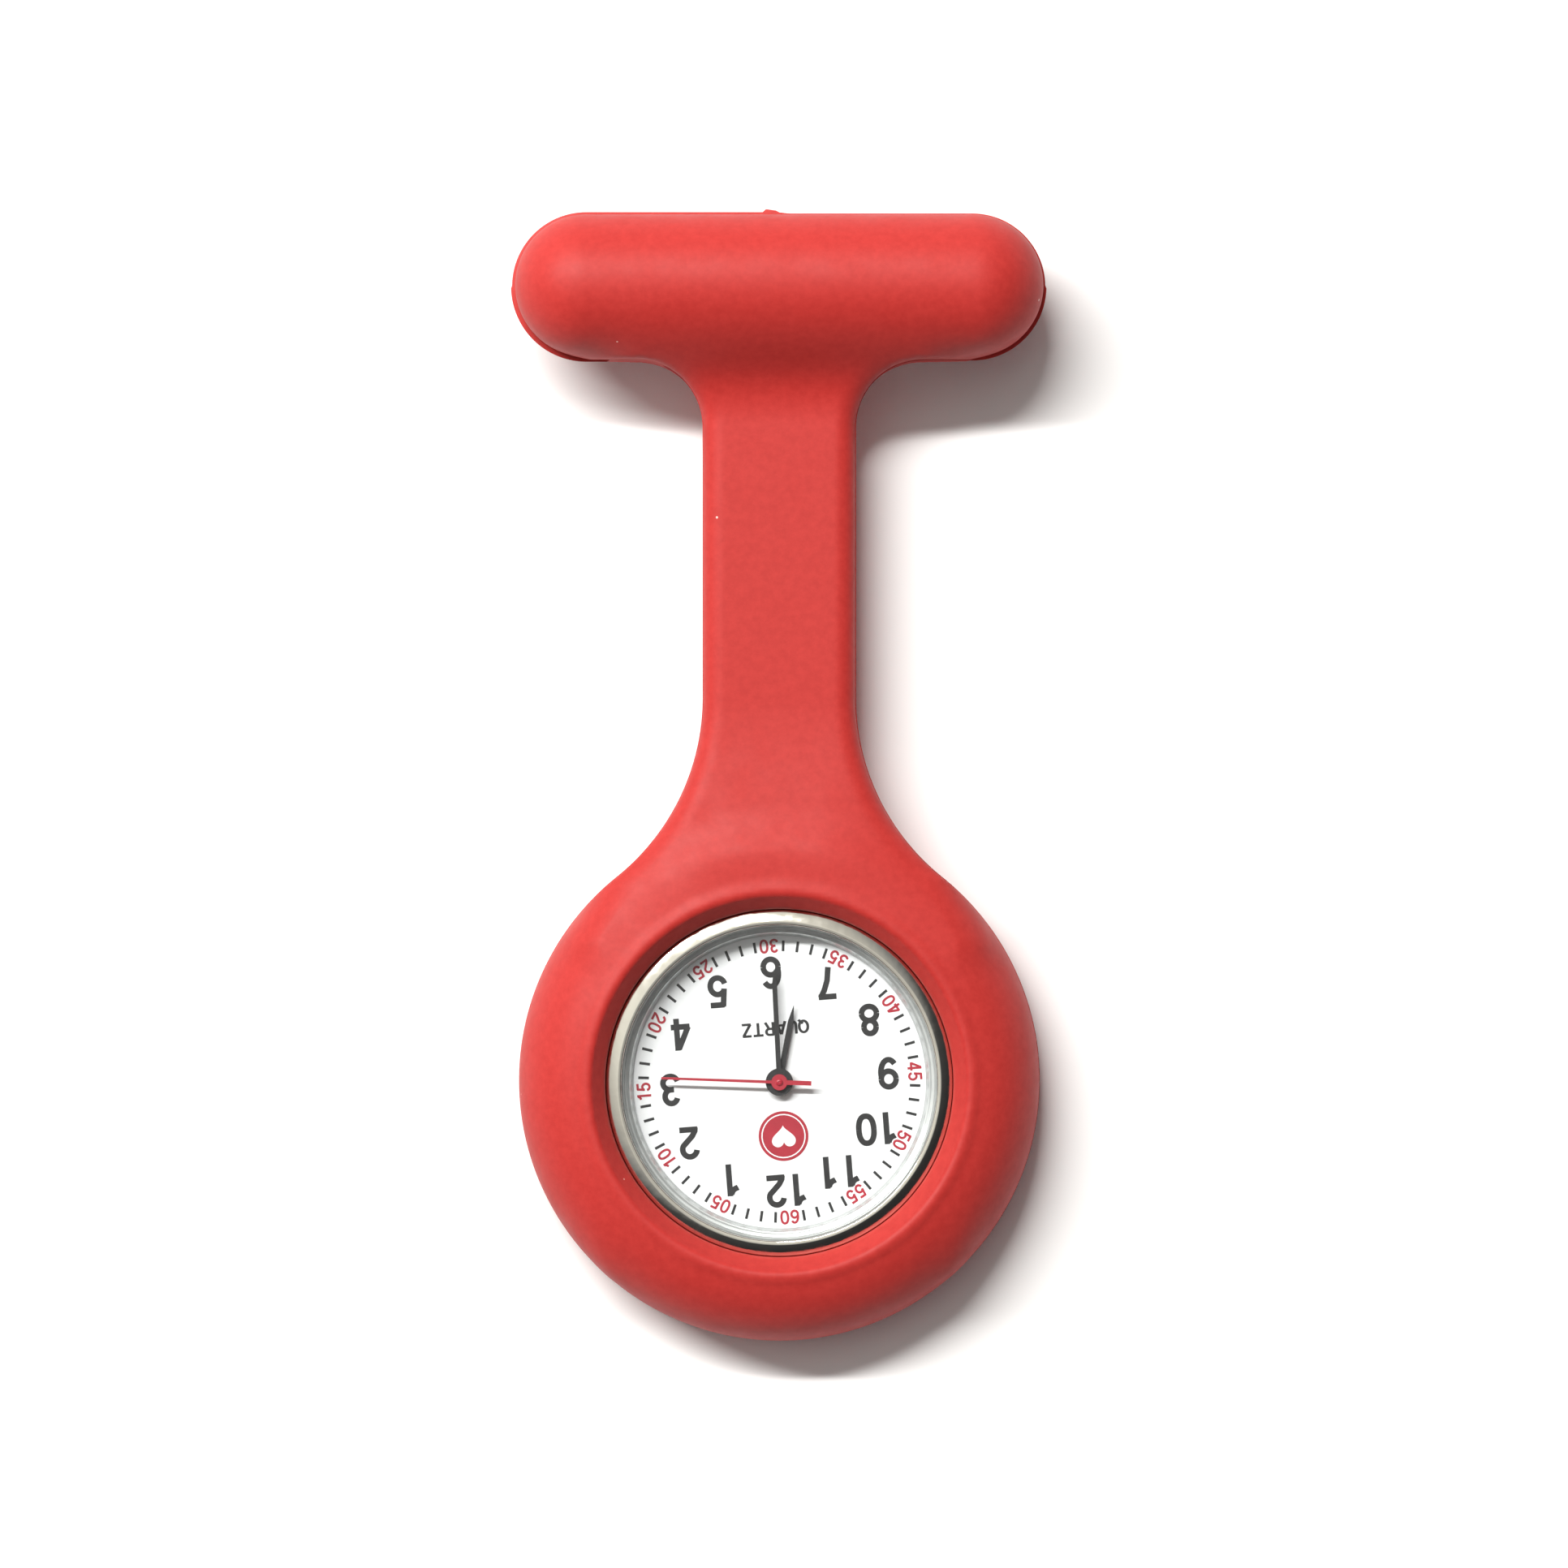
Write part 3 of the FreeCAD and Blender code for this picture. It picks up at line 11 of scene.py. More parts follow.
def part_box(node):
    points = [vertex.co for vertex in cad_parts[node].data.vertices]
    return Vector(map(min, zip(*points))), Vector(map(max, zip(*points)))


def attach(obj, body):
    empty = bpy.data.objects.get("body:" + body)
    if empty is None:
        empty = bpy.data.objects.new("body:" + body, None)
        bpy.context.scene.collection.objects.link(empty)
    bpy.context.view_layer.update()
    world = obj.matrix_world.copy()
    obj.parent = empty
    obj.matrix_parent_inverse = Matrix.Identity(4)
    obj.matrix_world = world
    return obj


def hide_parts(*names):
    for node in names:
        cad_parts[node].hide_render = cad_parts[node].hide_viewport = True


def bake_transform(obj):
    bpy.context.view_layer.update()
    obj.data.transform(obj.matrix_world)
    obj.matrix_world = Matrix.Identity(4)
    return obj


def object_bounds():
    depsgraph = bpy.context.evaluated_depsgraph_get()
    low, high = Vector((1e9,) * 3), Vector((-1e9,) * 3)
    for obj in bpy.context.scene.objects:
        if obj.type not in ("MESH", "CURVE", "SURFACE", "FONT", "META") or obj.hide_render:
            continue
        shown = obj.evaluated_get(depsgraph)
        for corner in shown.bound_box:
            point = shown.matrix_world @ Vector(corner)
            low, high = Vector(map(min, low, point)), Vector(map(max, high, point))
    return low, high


# A nurse's fob watch lying on a pale table, seen from straight above.
# Made here: the silicone holder's skin and mould flash, the dial's print, the bezel and flange
# rings and the second hand. The other pieces are the CAD nodes with finished materials.
# Lengths are millimetres, and MM turns them into Blender's metres.
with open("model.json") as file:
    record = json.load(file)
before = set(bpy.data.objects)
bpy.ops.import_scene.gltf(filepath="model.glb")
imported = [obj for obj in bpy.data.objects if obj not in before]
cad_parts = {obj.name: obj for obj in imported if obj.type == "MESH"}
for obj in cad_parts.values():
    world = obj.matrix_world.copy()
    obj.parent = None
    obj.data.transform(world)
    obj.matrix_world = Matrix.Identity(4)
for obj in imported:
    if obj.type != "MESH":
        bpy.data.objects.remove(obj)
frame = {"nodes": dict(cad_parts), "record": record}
cad_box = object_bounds()
MM = 0.001


def node_box(node):
    """Lowest and highest corner of a CAD node, in millimetres."""
    low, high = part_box(node)
    return low / MM, high / MM


# ---------------------------------------------------------------- measures from the frame

BEZEL_LOW, BEZEL_HIGH = node_box("bezel")
STRAP_LOW, STRAP_HIGH = node_box("strap_flex_zone")
BAR_LOW, BAR_HIGH = node_box("top_bar")
PLATE_LOW, PLATE_HIGH = node_box("brooch_plate")
DIAL_LOW, DIAL_HIGH = node_box("dial")
CROWN_LOW, CROWN_HIGH = node_box("crown")
SECOND_LOW, SECOND_HIGH = node_box("second_hand")
CRYSTAL_TOP = node_box("crystal")[1].z

HEAD = (BEZEL_LOW + BEZEL_HIGH) / 2
CROWN = (CROWN_LOW + CROWN_HIGH) / 2
HEAD_RADIUS = node_box("watch_ring")[1].x
DIAL_TURN = math.atan2(CROWN.y - HEAD.y, CROWN.x - HEAD.x)
STRAP_HALF = STRAP_HIGH.x
STRAP_MIDDLE = (STRAP_LOW.z + STRAP_HIGH.z) / 2
BAR_HALF = BAR_HIGH.x
BAR_Y = (PLATE_LOW.y + PLATE_HIGH.y) / 2 - HEAD.y
BAR_RADIUS = BAR_HIGH.y - HEAD.y - BAR_Y

# ---------------------------------------------------------------- outline of the holder

FLARE_RADIUS = 17.2
CORNER_RADIUS = 5.0
FLARE_X = STRAP_HALF + FLARE_RADIUS
FLARE_Y = math.sqrt((HEAD_RADIUS + FLARE_RADIUS) ** 2 - FLARE_X ** 2)
FOOT_ANGLE = math.degrees(math.atan2(FLARE_Y, FLARE_X))
CORNER_Y = BAR_Y - BAR_RADIUS - CORNER_RADIUS
BAR_STRAIGHT = BAR_HALF - BAR_RADIUS

# How far the slab's outline runs on inside the ring and the bar, where their own shapes cover it
RING_OVERLAP = 3.1
SINK_OVERLAP = 2.0
SINK_ANGLE = 15
BAR_OVERLAP = 1.5

# Points of an outline that are closer than this count as one
SAME_PLACE = 1e-6


def arc(x, y, radius, start, end, step=1.5):
    """Points on an arc about (x, y), from one angle to another, in degrees."""
    angles = np.radians(np.linspace(start, end, max(2, math.ceil(abs(end - start) / step) + 1)))
    return [(x + radius * math.cos(a), y + radius * math.sin(a)) for a in angles]


def polar(radius, degrees):
    """A point on a circle about the dial's centre."""
    angle = math.radians(degrees)
    return radius * math.cos(angle), radius * math.sin(angle)


def mirrored(points):
    """A right half, and the left half that closes it."""
    return points + [(-x, y) for x, y in reversed(points)]


def strap_side():
    """The right side from the foot of the flare up to the bar."""
    return (arc(FLARE_X, FLARE_Y, FLARE_RADIUS, FOOT_ANGLE + 180, 180)
            + arc(STRAP_HALF + CORNER_RADIUS, CORNER_Y, CORNER_RADIUS, 180, 90, 3))


def slab_outline():
    """The flare, strap and neck, running on inside the ring and the bar."""
    sink_angle = FOOT_ANGLE - SINK_ANGLE
    return mirrored(arc(0, 0, HEAD_RADIUS - RING_OVERLAP, 90, sink_angle, 5)
                    + [polar(HEAD_RADIUS - SINK_OVERLAP, sink_angle)]
                    + strap_side()
                    + [(STRAP_HALF + CORNER_RADIUS, BAR_Y - BAR_OVERLAP)])


def full_outline():
    """The whole holder's outline, counter-clockwise from the middle of the ring's foot."""
    return mirrored(arc(0, 0, HEAD_RADIUS, -90, FOOT_ANGLE)
                    + strap_side()
                    + arc(BAR_STRAIGHT, BAR_Y, BAR_RADIUS, -90, 90, 3)
                    + [(0, BAR_Y + BAR_RADIUS)])


def evenly(points, spacing):
    """A closed outline walked again in even steps, with any repeated point dropped."""
    loop = np.array(points + points[:1], float)
    lengths = np.linalg.norm(np.diff(loop, axis=0), axis=1)
    loop = loop[np.concatenate([[True], lengths > SAME_PLACE])]
    walked = np.concatenate([[0], np.cumsum(np.linalg.norm(np.diff(loop, axis=0), axis=1))])
    places = np.linspace(0, walked[-1], round(walked[-1] / spacing), endpoint=False)
    return np.stack([np.interp(places, walked, loop[:, axis]) for axis in (0, 1)], axis=1)


# ---------------------------------------------------------------- silicone holder

BACK_OPENING = 11.0
OPENING_CHAMFER = 0.25
SEAT_RADIUS = 13.01
SEAT_BOTTOM = 0.9
SEAT_TOP = 8.3
SEAT_CHAMFER = 0.2
BACK_ROUND = 2.3
DOME_RADIUS = 6.0
DOME_BASE = 3.6
DOME_PAST_LIP = 0.3
LIP_RADIUS = 0.62
LIP_CENTRE = (14.3, 9.03)
LIP_FOOT = (13.71, 9.2)
LIP_FILLET = 0.4
FLASH = 0.22
BAR_SHOULDER = 8.2
BAR_BACK_ROUND = 1.2
STRAP_EDGE = 1.6
RING_BLEND = 3.0
FLARE_RISE = 1.15
FLARE_RISE_LENGTH = 9
FLARE_RISE_HALF = (3, 13)
NECK_BLEND = 5.0
RECESS_ROUND = 0.3
POCKET_INNER, POCKET_OUTER = 12.5, 14.15
POCKET_HALF = 1.75
GRID = 0.3
GRID_MARGIN = 4.4
FINE_STEP, COARSE_STEP = 0.05, 0.1


class Profile:
    """Signed distance to a closed outline, read off a fine grid; negative inside."""

    def __init__(self, points, low, high, step):
        self.low, self.step = np.array(low, float), step
        counts = [round((high[i] - low[i]) / step) + 1 for i in (0, 1)]
        u, v = np.meshgrid(*[low[i] + step * np.arange(counts[i]) for i in (0, 1)], indexing="ij")
        nearest = np.full(u.shape, np.inf)
        inside = np.zeros(u.shape, bool)
        for (u0, v0), (u1, v1) in zip(points, points[1:] + points[:1]):
            du, dv = u1 - u0, v1 - v0
            length = du * du + dv * dv
            if length < 1e-12:
                continue
            share = np.clip(((u - u0) * du + (v - v0) * dv) / length, 0, 1)
            nearest = np.minimum(nearest, (u - u0 - share * du) ** 2 + (v - v0 - share * dv) ** 2)
            if abs(dv) > 1e-12:
                inside ^= ((v0 > v) != (v1 > v)) & (u < u0 + (v - v0) * du / dv)
        self.values = np.where(inside, -1, 1) * np.sqrt(nearest)

    def __call__(self, u, v):
        """The distance at each place, between the four nearest grid values."""
        size = self.values.shape
        a = np.clip((u - self.low[0]) / self.step, 0, size[0] - 1.001)
        b = np.clip((v - self.low[1]) / self.step, 0, size[1] - 1.001)
        i, j = a.astype(int), b.astype(int)
        a, b = a - i, b - j
        near = self.values[i, j] * (1 - b) + self.values[i, j + 1] * b
        far = self.values[i + 1, j] * (1 - b) + self.values[i + 1, j + 1] * b
        return near * (1 - a) + far * a


def eased(value, start, end):
    """0 before start, 1 after end, smooth between."""
    share = np.clip((value - start) / (end - start), 0, 1)
    return share * share * (3 - 2 * share)


def joined(a, b, width):
    """Both shapes, with a fillet where they meet."""
    overlap = np.maximum(width - np.abs(a - b), 0) / width
    return np.minimum(a, b) - overlap * overlap * width / 4


def carved(a, b, width):
    """The first shape without the second, with a rounded rim."""
    return -joined(-a, b, width)


def stadium_distance(x, y, half_length, radius):
    """Distance to a long hole's outline about the bar's centre."""
    straight = half_length - radius
    return np.hypot(x - np.clip(x, -straight, straight), y - BAR_Y) - radius


def ring_outline():
    """The ring's section: chamfered back opening, rounded back, domed front and a seat for the head."""
    dome_middle = HEAD_RADIUS - DOME_RADIUS
    dome_end = math.degrees(math.acos((LIP_CENTRE[0] - DOME_PAST_LIP - dome_middle) / DOME_RADIUS))
    return ([(BACK_OPENING + OPENING_CHAMFER, 0.0)]
            + arc(HEAD_RADIUS - BACK_ROUND, BACK_ROUND, BACK_ROUND, -90, 0, 3)
            + arc(dome_middle, DOME_BASE, DOME_RADIUS, 0, dome_end, 2)
            + [LIP_FOOT, (SEAT_RADIUS, SEAT_TOP), (SEAT_RADIUS, SEAT_BOTTOM)]
            + [(BACK_OPENING + SEAT_CHAMFER, SEAT_BOTTOM), (BACK_OPENING, SEAT_BOTTOM - SEAT_CHAMFER)]
            + [(BACK_OPENING, OPENING_CHAMFER)])


def cavity_outline():
    """Everything inside the ring's wall, which the flare must not fill."""
    past_axis, past_back, past_front = -1.0, -3.0, 6.0
    slope = (LIP_FOOT[0] - SEAT_RADIUS) / (LIP_FOOT[1] - SEAT_TOP)
    return [(past_axis, past_back), (BACK_OPENING, past_back), (BACK_OPENING, SEAT_BOTTOM),
            (SEAT_RADIUS, SEAT_BOTTOM), (SEAT_RADIUS, SEAT_TOP),
            (SEAT_RADIUS + past_front * slope, SEAT_TOP + past_front), (past_axis, SEAT_TOP + past_front)]


def bar_outline():
    """The bar's section: flat back, upright sides and a domed front."""
    half = BAR_RADIUS - FLASH
    front = BAR_HIGH.z - BAR_SHOULDER
    right = (arc(half - BAR_BACK_ROUND, BAR_LOW.z + BAR_BACK_ROUND, BAR_BACK_ROUND, -90, 0, 5)
             + [(x * half, BAR_SHOULDER + y * front) for x, y in arc(0, 0, 1.0, 0, 88, 2)])
    return mirrored(right)


ring_profile = Profile(ring_outline(), (8, -3), (30, 15), FINE_STEP)
cavity_profile = Profile(cavity_outline(), (0, -3), (30, 15), FINE_STEP)
bar_profile = Profile(bar_outline(), (0, -1), (12, 17), FINE_STEP)
slab_profile = Profile(slab_outline(), (-24, 8), (24, 66), COARSE_STEP)
edge_profile = Profile(full_outline(), (-24, -22), (24, 68), COARSE_STEP)


def holder_distance(x, y, z):
    """The silicone holder as one shape; y is measured from the dial's centre."""
    radius = np.hypot(x, y)
    lip = np.hypot(radius - LIP_CENTRE[0], z - LIP_CENTRE[1]) - LIP_RADIUS
    ring = joined(ring_profile(radius, z), lip, LIP_FILLET)

    half = (STRAP_HIGH.z - STRAP_LOW.z) / 2
    side = np.maximum(slab_profile(x, y) / STRAP_EDGE + 1, 0)
    near_ring = 1 - eased(y, LIP_CENTRE[0], HEAD_RADIUS + FLARE_RISE_LENGTH)
    rise = FLARE_RISE * near_ring * (1 - eased(np.abs(x), *FLARE_RISE_HALF))
    height = np.abs(z - STRAP_MIDDLE - rise) / half
    slab = (np.hypot(side, height) - 1) * half

    bar = bar_profile(np.hypot(x - np.clip(x, -BAR_STRAIGHT, BAR_STRAIGHT), y - BAR_Y), z)

    whole = joined(joined(ring, slab, RING_BLEND), bar, NECK_BLEND)
    whole = np.maximum(whole, np.maximum(edge_profile(x, y), -cavity_profile(radius, z)))

    plate_half, plate_radius = PLATE_HIGH.x, (PLATE_HIGH.y - PLATE_LOW.y) / 2
    recess = np.maximum(stadium_distance(x, y, plate_half, plate_radius), z - PLATE_HIGH.z)
    whole = carved(whole, recess, RECESS_ROUND)

    along = x * math.cos(DIAL_TURN) + y * math.sin(DIAL_TURN)
    across = y * math.cos(DIAL_TURN) - x * math.sin(DIAL_TURN)
    pocket_ends = np.maximum(POCKET_INNER - along, along - POCKET_OUTER)
    pocket_sides = np.maximum(np.abs(across), np.abs(z - CROWN.z)) - POCKET_HALF
    return carved(whole, np.maximum(pocket_ends, pocket_sides), RECESS_ROUND)


def settled(points):
    """Moves mesh points onto the exact surface along its slope, a small step at a time."""
    reach, least_slope, longest = 0.02, 0.25, 0.1
    for _ in range(4):
        value = holder_distance(*points.T)
        slope = np.empty_like(points)
        for axis in range(3):
            shift = np.zeros(3)
            shift[axis] = reach
            slope[:, axis] = holder_distance(*(points + shift).T) - holder_distance(*(points - shift).T)
        slope /= 2 * reach
        steps = np.clip(value / np.maximum((slope ** 2).sum(axis=1), least_slope), -longest, longest)
        points = points - steps[:, None] * slope
    return points


def smooth_object(name, points, faces, material, sharp=None):
    """A mesh object from points in millimetres about the dial's centre."""
    mesh = bpy.data.meshes.new(name)
    mesh.from_pydata((np.asarray(points) + [HEAD.x, HEAD.y, 0]) * MM, [], faces)
    mesh.validate()
    mesh.shade_smooth()
    if sharp:
        mesh.set_sharp_from_angle(angle=math.radians(sharp))
    mesh.materials.append(material)
    obj = bpy.data.objects.new(name, mesh)
    bpy.context.scene.collection.objects.link(obj)
    return obj


def silicone_holder(material):
    """The holder's skin, meshed on a grid whose planes miss the flat faces."""
    margin = GRID_MARGIN * GRID
    farthest = 3.0
    low = np.array([-BAR_HALF - margin, -HEAD_RADIUS - margin, -margin])
    high = np.array([BAR_HALF + margin, BAR_Y + BAR_RADIUS + margin, BAR_HIGH.z + margin])
    axes = [np.arange(low[i], high[i], GRID) for i in range(3)]
    values = holder_distance(*np.meshgrid(*axes, indexing="ij"))
    volume = openvdb.FloatGrid()
    volume.background = farthest
    volume.copyFromArray(np.clip(values, -farthest, farthest).astype(np.float32))
    points, quads = volume.convertToQuads()
    points = settled(points.astype(float) * GRID + low)
    return smooth_object("silicone_holder", points, quads[:, ::-1].tolist(), material)


# ---------------------------------------------------------------- mould flash

RING_PARTING, BAR_PARTING = 3.2, 7.2
FLASH_DEPTH = 0.6
FLASH_HALF = 0.14
SIDE_FLASH = 0.05
FLASH_CLIMB = 3
LOW_LEFT_FLASH, LOW_RIGHT_FLASH = 0.14, 0.05
HIGH_LEFT_FLASH, HIGH_RIGHT_FLASH = 0.06, -0.04
TAB_X = -12.8
NUB_START, NUB_END, NUB_HEIGHT = -1.2, 0.64, 0.25
EDGE_SLACK = 0.5


def flash_reach(x, y):
    """How far the flash stands out of the outline: a lip at the bar's left end, and a gate mark."""
    left, low = x < 0, y < BAR_Y
    rim = np.where(low, np.where(left, LOW_LEFT_FLASH, LOW_RIGHT_FLASH),
                   np.where(left, HIGH_LEFT_FLASH, HIGH_RIGHT_FLASH))
    rim = np.where((x > TAB_X) & left & low, 0.0, rim)
    reach = np.where(y > BAR_Y - BAR_RADIUS - EDGE_SLACK, rim, SIDE_FLASH)
    nub = (y > BAR_Y + BAR_RADIUS - EDGE_SLACK) & (x > NUB_START) & (x < NUB_END)
    return np.where(nub, reach + NUB_HEIGHT * (NUB_END - x) / (NUB_END - NUB_START), reach)


def mould_flash(material):
    """The thin skin of silicone left where the two mould halves met."""
    line = evenly(full_outline(), 0.25)
    ahead = np.roll(line, -1, axis=0) - np.roll(line, 1, axis=0)
    outward = np.stack([ahead[:, 1], -ahead[:, 0]], axis=1) / np.linalg.norm(ahead, axis=1)[:, None]
    foot_y = FLARE_Y * HEAD_RADIUS / (HEAD_RADIUS + FLARE_RADIUS)
    x, y = line.T
    height = (RING_PARTING
              + (STRAP_MIDDLE - RING_PARTING) * eased(y, foot_y - FLASH_CLIMB, foot_y + FLASH_CLIMB)
              + (BAR_PARTING - STRAP_MIDDLE) * eased(y, CORNER_Y, CORNER_Y + CORNER_RADIUS))
    reach = flash_reach(x, y)
    section = [(None, -1.0), (0.0, -1.0), (1.0, -0.45), (1.0, 0.45), (0.0, 1.0), (None, 1.0)]
    points = []
    for out, up in section:
        offset = np.full(len(line), -FLASH_DEPTH) if out is None else (reach + FLASH) * out - FLASH
        rows = line + outward * offset[:, None]
        points.append(np.column_stack([rows, height + up * FLASH_HALF]))
    points = np.concatenate(points)
    count, sides = len(line), len(section)
    faces = []
    for side in range(sides):
        here, there = side * count, (side + 1) % sides * count
        for i in range(count):
            after = (i + 1) % count
            faces.append((here + i, here + after, there + after, there + i))
    return smooth_object("mould_flash", points, faces, material, sharp=40)


# ---------------------------------------------------------------- print on the dial

PRINT_BOTTOM = -0.01
PRINT_TOP = 0.02


def bend(x, y, wide, tall, start, end, power=1.0):
    """Points on an ellipse about (x, y); a power under 1 squares it."""
    count = max(4, math.ceil(abs(end - start) / 12))
    angles = np.radians(np.linspace(start, end, count + 1))
    return [(x + wide * math.copysign(abs(math.cos(a)) ** power, math.cos(a)),
             y + tall * math.copysign(abs(math.sin(a)) ** power, math.sin(a))) for a in angles]


def round_stroke(x, y, wide, tall, power=1.0):
    """A closed stroke, as two halves."""
    return [bend(x, y, wide, tall, 0, 180, power), bend(x, y, wide, tall, 180, 360, power)]


def turned_over(strokes):
    """Strokes turned by half a turn in their box."""
    return [[(LETTER_WIDTH - x, 1 - y) for x, y in stroke] for stroke in strokes]


# Middle lines of the strokes of each character, in a box LETTER_WIDTH wide and 1 tall
LETTER_WIDTH = 0.62
SIX = round_stroke(0.31, 0.32, 0.232, 0.245) + [bend(0.335, 0.5, 0.255, 0.425, 42, 190)]
STROKES = {
    "0": round_stroke(0.31, 0.5, 0.235, 0.425, 0.85),
    "1": [[(0.40, 0.0), (0.40, 1.0)], [(0.14, 0.735)] + bend(0.14, 0.985, 0.22, 0.235, -80, -8)],
    "2": [bend(0.305, 0.69, 0.225, 0.235, 172, -28)
          + [(0.36, 0.44), (0.20, 0.28), (0.11, 0.13), (0.095, 0.02)],
          [(0.025, 0.075), (0.59, 0.075)]],
    "3": [bend(0.30, 0.71, 0.195, 0.215, 165, -90), bend(0.30, 0.285, 0.232, 0.21, 90, -168),
          [(0.20, 0.495), (0.31, 0.495)]],
    "4": [[(0.43, 0.0), (0.43, 1.0)], [(0.02, 0.265), (0.61, 0.265)], [(0.40, 0.955), (0.07, 0.27)]],
    "5": [[(0.12, 0.925), (0.56, 0.925)], [(0.165, 0.98), (0.105, 0.42)],
          [(0.09, 0.47)] + bend(0.30, 0.335, 0.232, 0.26, 128, -165)],
    "6": SIX,
    "7": [[(0.03, 0.925), (0.59, 0.925)], [(0.53, 0.95), (0.40, 0.72), (0.29, 0.42), (0.23, 0.0)]],
    "8": round_stroke(0.31, 0.72, 0.19, 0.205) + round_stroke(0.31, 0.295, 0.235, 0.22),
    "9": turned_over(SIX),
    "Q": round_stroke(0.33, 0.5, 0.27, 0.43) + [[(0.36, 0.28), (0.62, -0.02)]],
    "U": [[(0.08, 1.0), (0.08, 0.35)] + bend(0.31, 0.33, 0.23, 0.26, 180, 360)
          + [(0.54, 0.35), (0.54, 1.0)]],
    "A": [[(0.03, 0.0), (0.31, 0.97)], [(0.59, 0.0), (0.31, 0.97)], [(0.12, 0.30), (0.50, 0.30)]],
    "R": [[(0.08, 0.0), (0.08, 1.0)], [(0.06, 0.94), (0.30, 0.94)] + bend(0.34, 0.72, 0.18, 0.22, 90, -90)
          + [(0.06, 0.50)], [(0.34, 0.50), (0.56, 0.0)]],
    "T": [[(0.0, 0.94), (0.62, 0.94)], [(0.31, 0.0), (0.31, 0.96)]],
    "Z": [[(0.03, 0.94), (0.58, 0.94)], [(0.54, 0.95), (0.07, 0.06)], [(0.03, 0.06), (0.60, 0.06)]],
}


def ribbon(line, width):
    """The outline of a stroke along a line, counter-clockwise."""
    line = np.array(line)
    ahead = np.gradient(line, axis=0)
    across = np.stack([-ahead[:, 1], ahead[:, 0]], axis=1)
    side = across / np.linalg.norm(ahead, axis=1)[:, None] * width / 2
    return [tuple(point) for point in np.concatenate([line - side, (line + side)[::-1]])]


def plate(outlines, bottom=PRINT_BOTTOM, top=PRINT_TOP):
    """Points and faces of a thin plate that covers every outline once."""
    flat, loops = [], []
    for outline in outlines:
        loops.append(list(range(len(flat), len(flat) + len(outline))))
        flat += [Vector(point) for point in outline]
    keep_inside, tolerance = 1, 1e-5
    points, _, faces, _, _, covering = delaunay_2d_cdt(flat, [], loops, keep_inside, tolerance)
    faces = [face for face, sources in zip(faces, covering) if sources]
    count = len(points)
    solid = [(x, y, z) for z in (bottom, top) for x, y in points]
    edges = {(face[i - 1], face[i]) for face in faces for i in range(len(face))}
    walls = [(a, b, b + count, a + count) for a, b in sorted(edges) if (b, a) not in edges]
    below = [tuple(reversed(face)) for face in faces]
    above = [tuple(i + count for i in face) for face in faces]
    return np.array(solid), below + above + walls


def lettering(text, height, stroke, spacing=0.72, stretch=1.0):
    """A centred word or number; stroke is a share of the height."""
    outlines = []
    for place, character in enumerate(text):
        middle = (place - (len(text) - 1) / 2) * spacing
        for line in STROKES[character]:
            outlines.append([(((x - LETTER_WIDTH / 2) * stretch + middle) * height, (y - 0.5) * height)
                             for x, y in ribbon(line, stroke)])
    return plate(outlines)


def turned_by(points, angle):
    """Points turned counter-clockwise about the dial's centre."""
    c, s = math.cos(angle), math.sin(angle)
    x, y, z = points.T
    return np.column_stack([x * c - y * s, x * s + y * c, z])


class Print:
    """Lettering and marks of one ink, gathered in the dial's own frame: x to three, y to twelve."""

    def __init__(self):
        self.points, self.faces = [], []

    def add(self, shape, x, y, spin=0.0):
        points, faces = shape
        start = sum(map(len, self.points))
        self.points.append(turned_by(points, spin) + [x, y, 0])
        self.faces += [tuple(start + i for i in face) for face in faces]

    def finish(self, name, material, slot):
        points = turned_by(np.concatenate(self.points), DIAL_TURN) + [0, 0, DIAL_HIGH.z]
        obj = smooth_object(name, points, self.faces, material, sharp=30)
        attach(obj, "watch_head")
        return obj


def clock_place(minutes, radius):
    """The place of a minute on a circle of the dial."""
    angle = math.radians(minutes * 6)
    return radius * math.sin(angle), radius * math.cos(angle)


HOUR_CIRCLE, HOUR_HEIGHT, HOUR_STROKE = 8.2, 2.4, 0.178
MINUTE_CIRCLE, MINUTE_HEIGHT, MINUTE_STROKE = 10.2, 1.05, 0.165
TICK_WIDTH, TICK_LENGTH = 0.2, 0.8
WORD_CIRCLE, WORD_HEIGHT, WORD_STROKE, WORD_SPACING, WORD_STRETCH = 4.0, 1.0, 0.175, 0.86, 1.2
EMBLEM_CIRCLE, EMBLEM_RADIUS = 4.1, 1.87
EMBLEM_RIM_RADIUS, EMBLEM_RIM_WIDTH = 1.62, 0.09
HEART_WIDTH = 1.8


def print_numbers(black, red):
    """The hours, the minute ticks and every fifth minute, with the lower ones reading inward."""
    hours, ticks, minutes = Print(), Print(), Print()
    for hour in range(1, 13):
        hours.add(lettering(str(hour), HOUR_HEIGHT, HOUR_STROKE), *clock_place(hour * 5, HOUR_CIRCLE))
    x, y = TICK_WIDTH / 2, TICK_LENGTH / 2
    tick = plate([[(-x, -y), (x, -y), (x, y), (-x, y)]])
    for minute in range(60):
        if minute % 5:
            ticks.add(tick, *clock_place(minute, MINUTE_CIRCLE), spin=-math.radians(minute * 6))
    for minute in range(5, 61, 5):
        inward = 15 < minute < 45
        spin = -math.radians(minute * 6) + (math.pi if inward else 0)
        number = lettering(f"{minute:02d}", MINUTE_HEIGHT, MINUTE_STROKE)
        minutes.add(number, *clock_place(minute, MINUTE_CIRCLE), spin=spin)
    hours.finish("dial_hour_numerals", black, "hand_black")
    ticks.finish("dial_minute_ticks", black, "hand_black")
    minutes.finish("dial_minute_numerals", red, "hand_red")


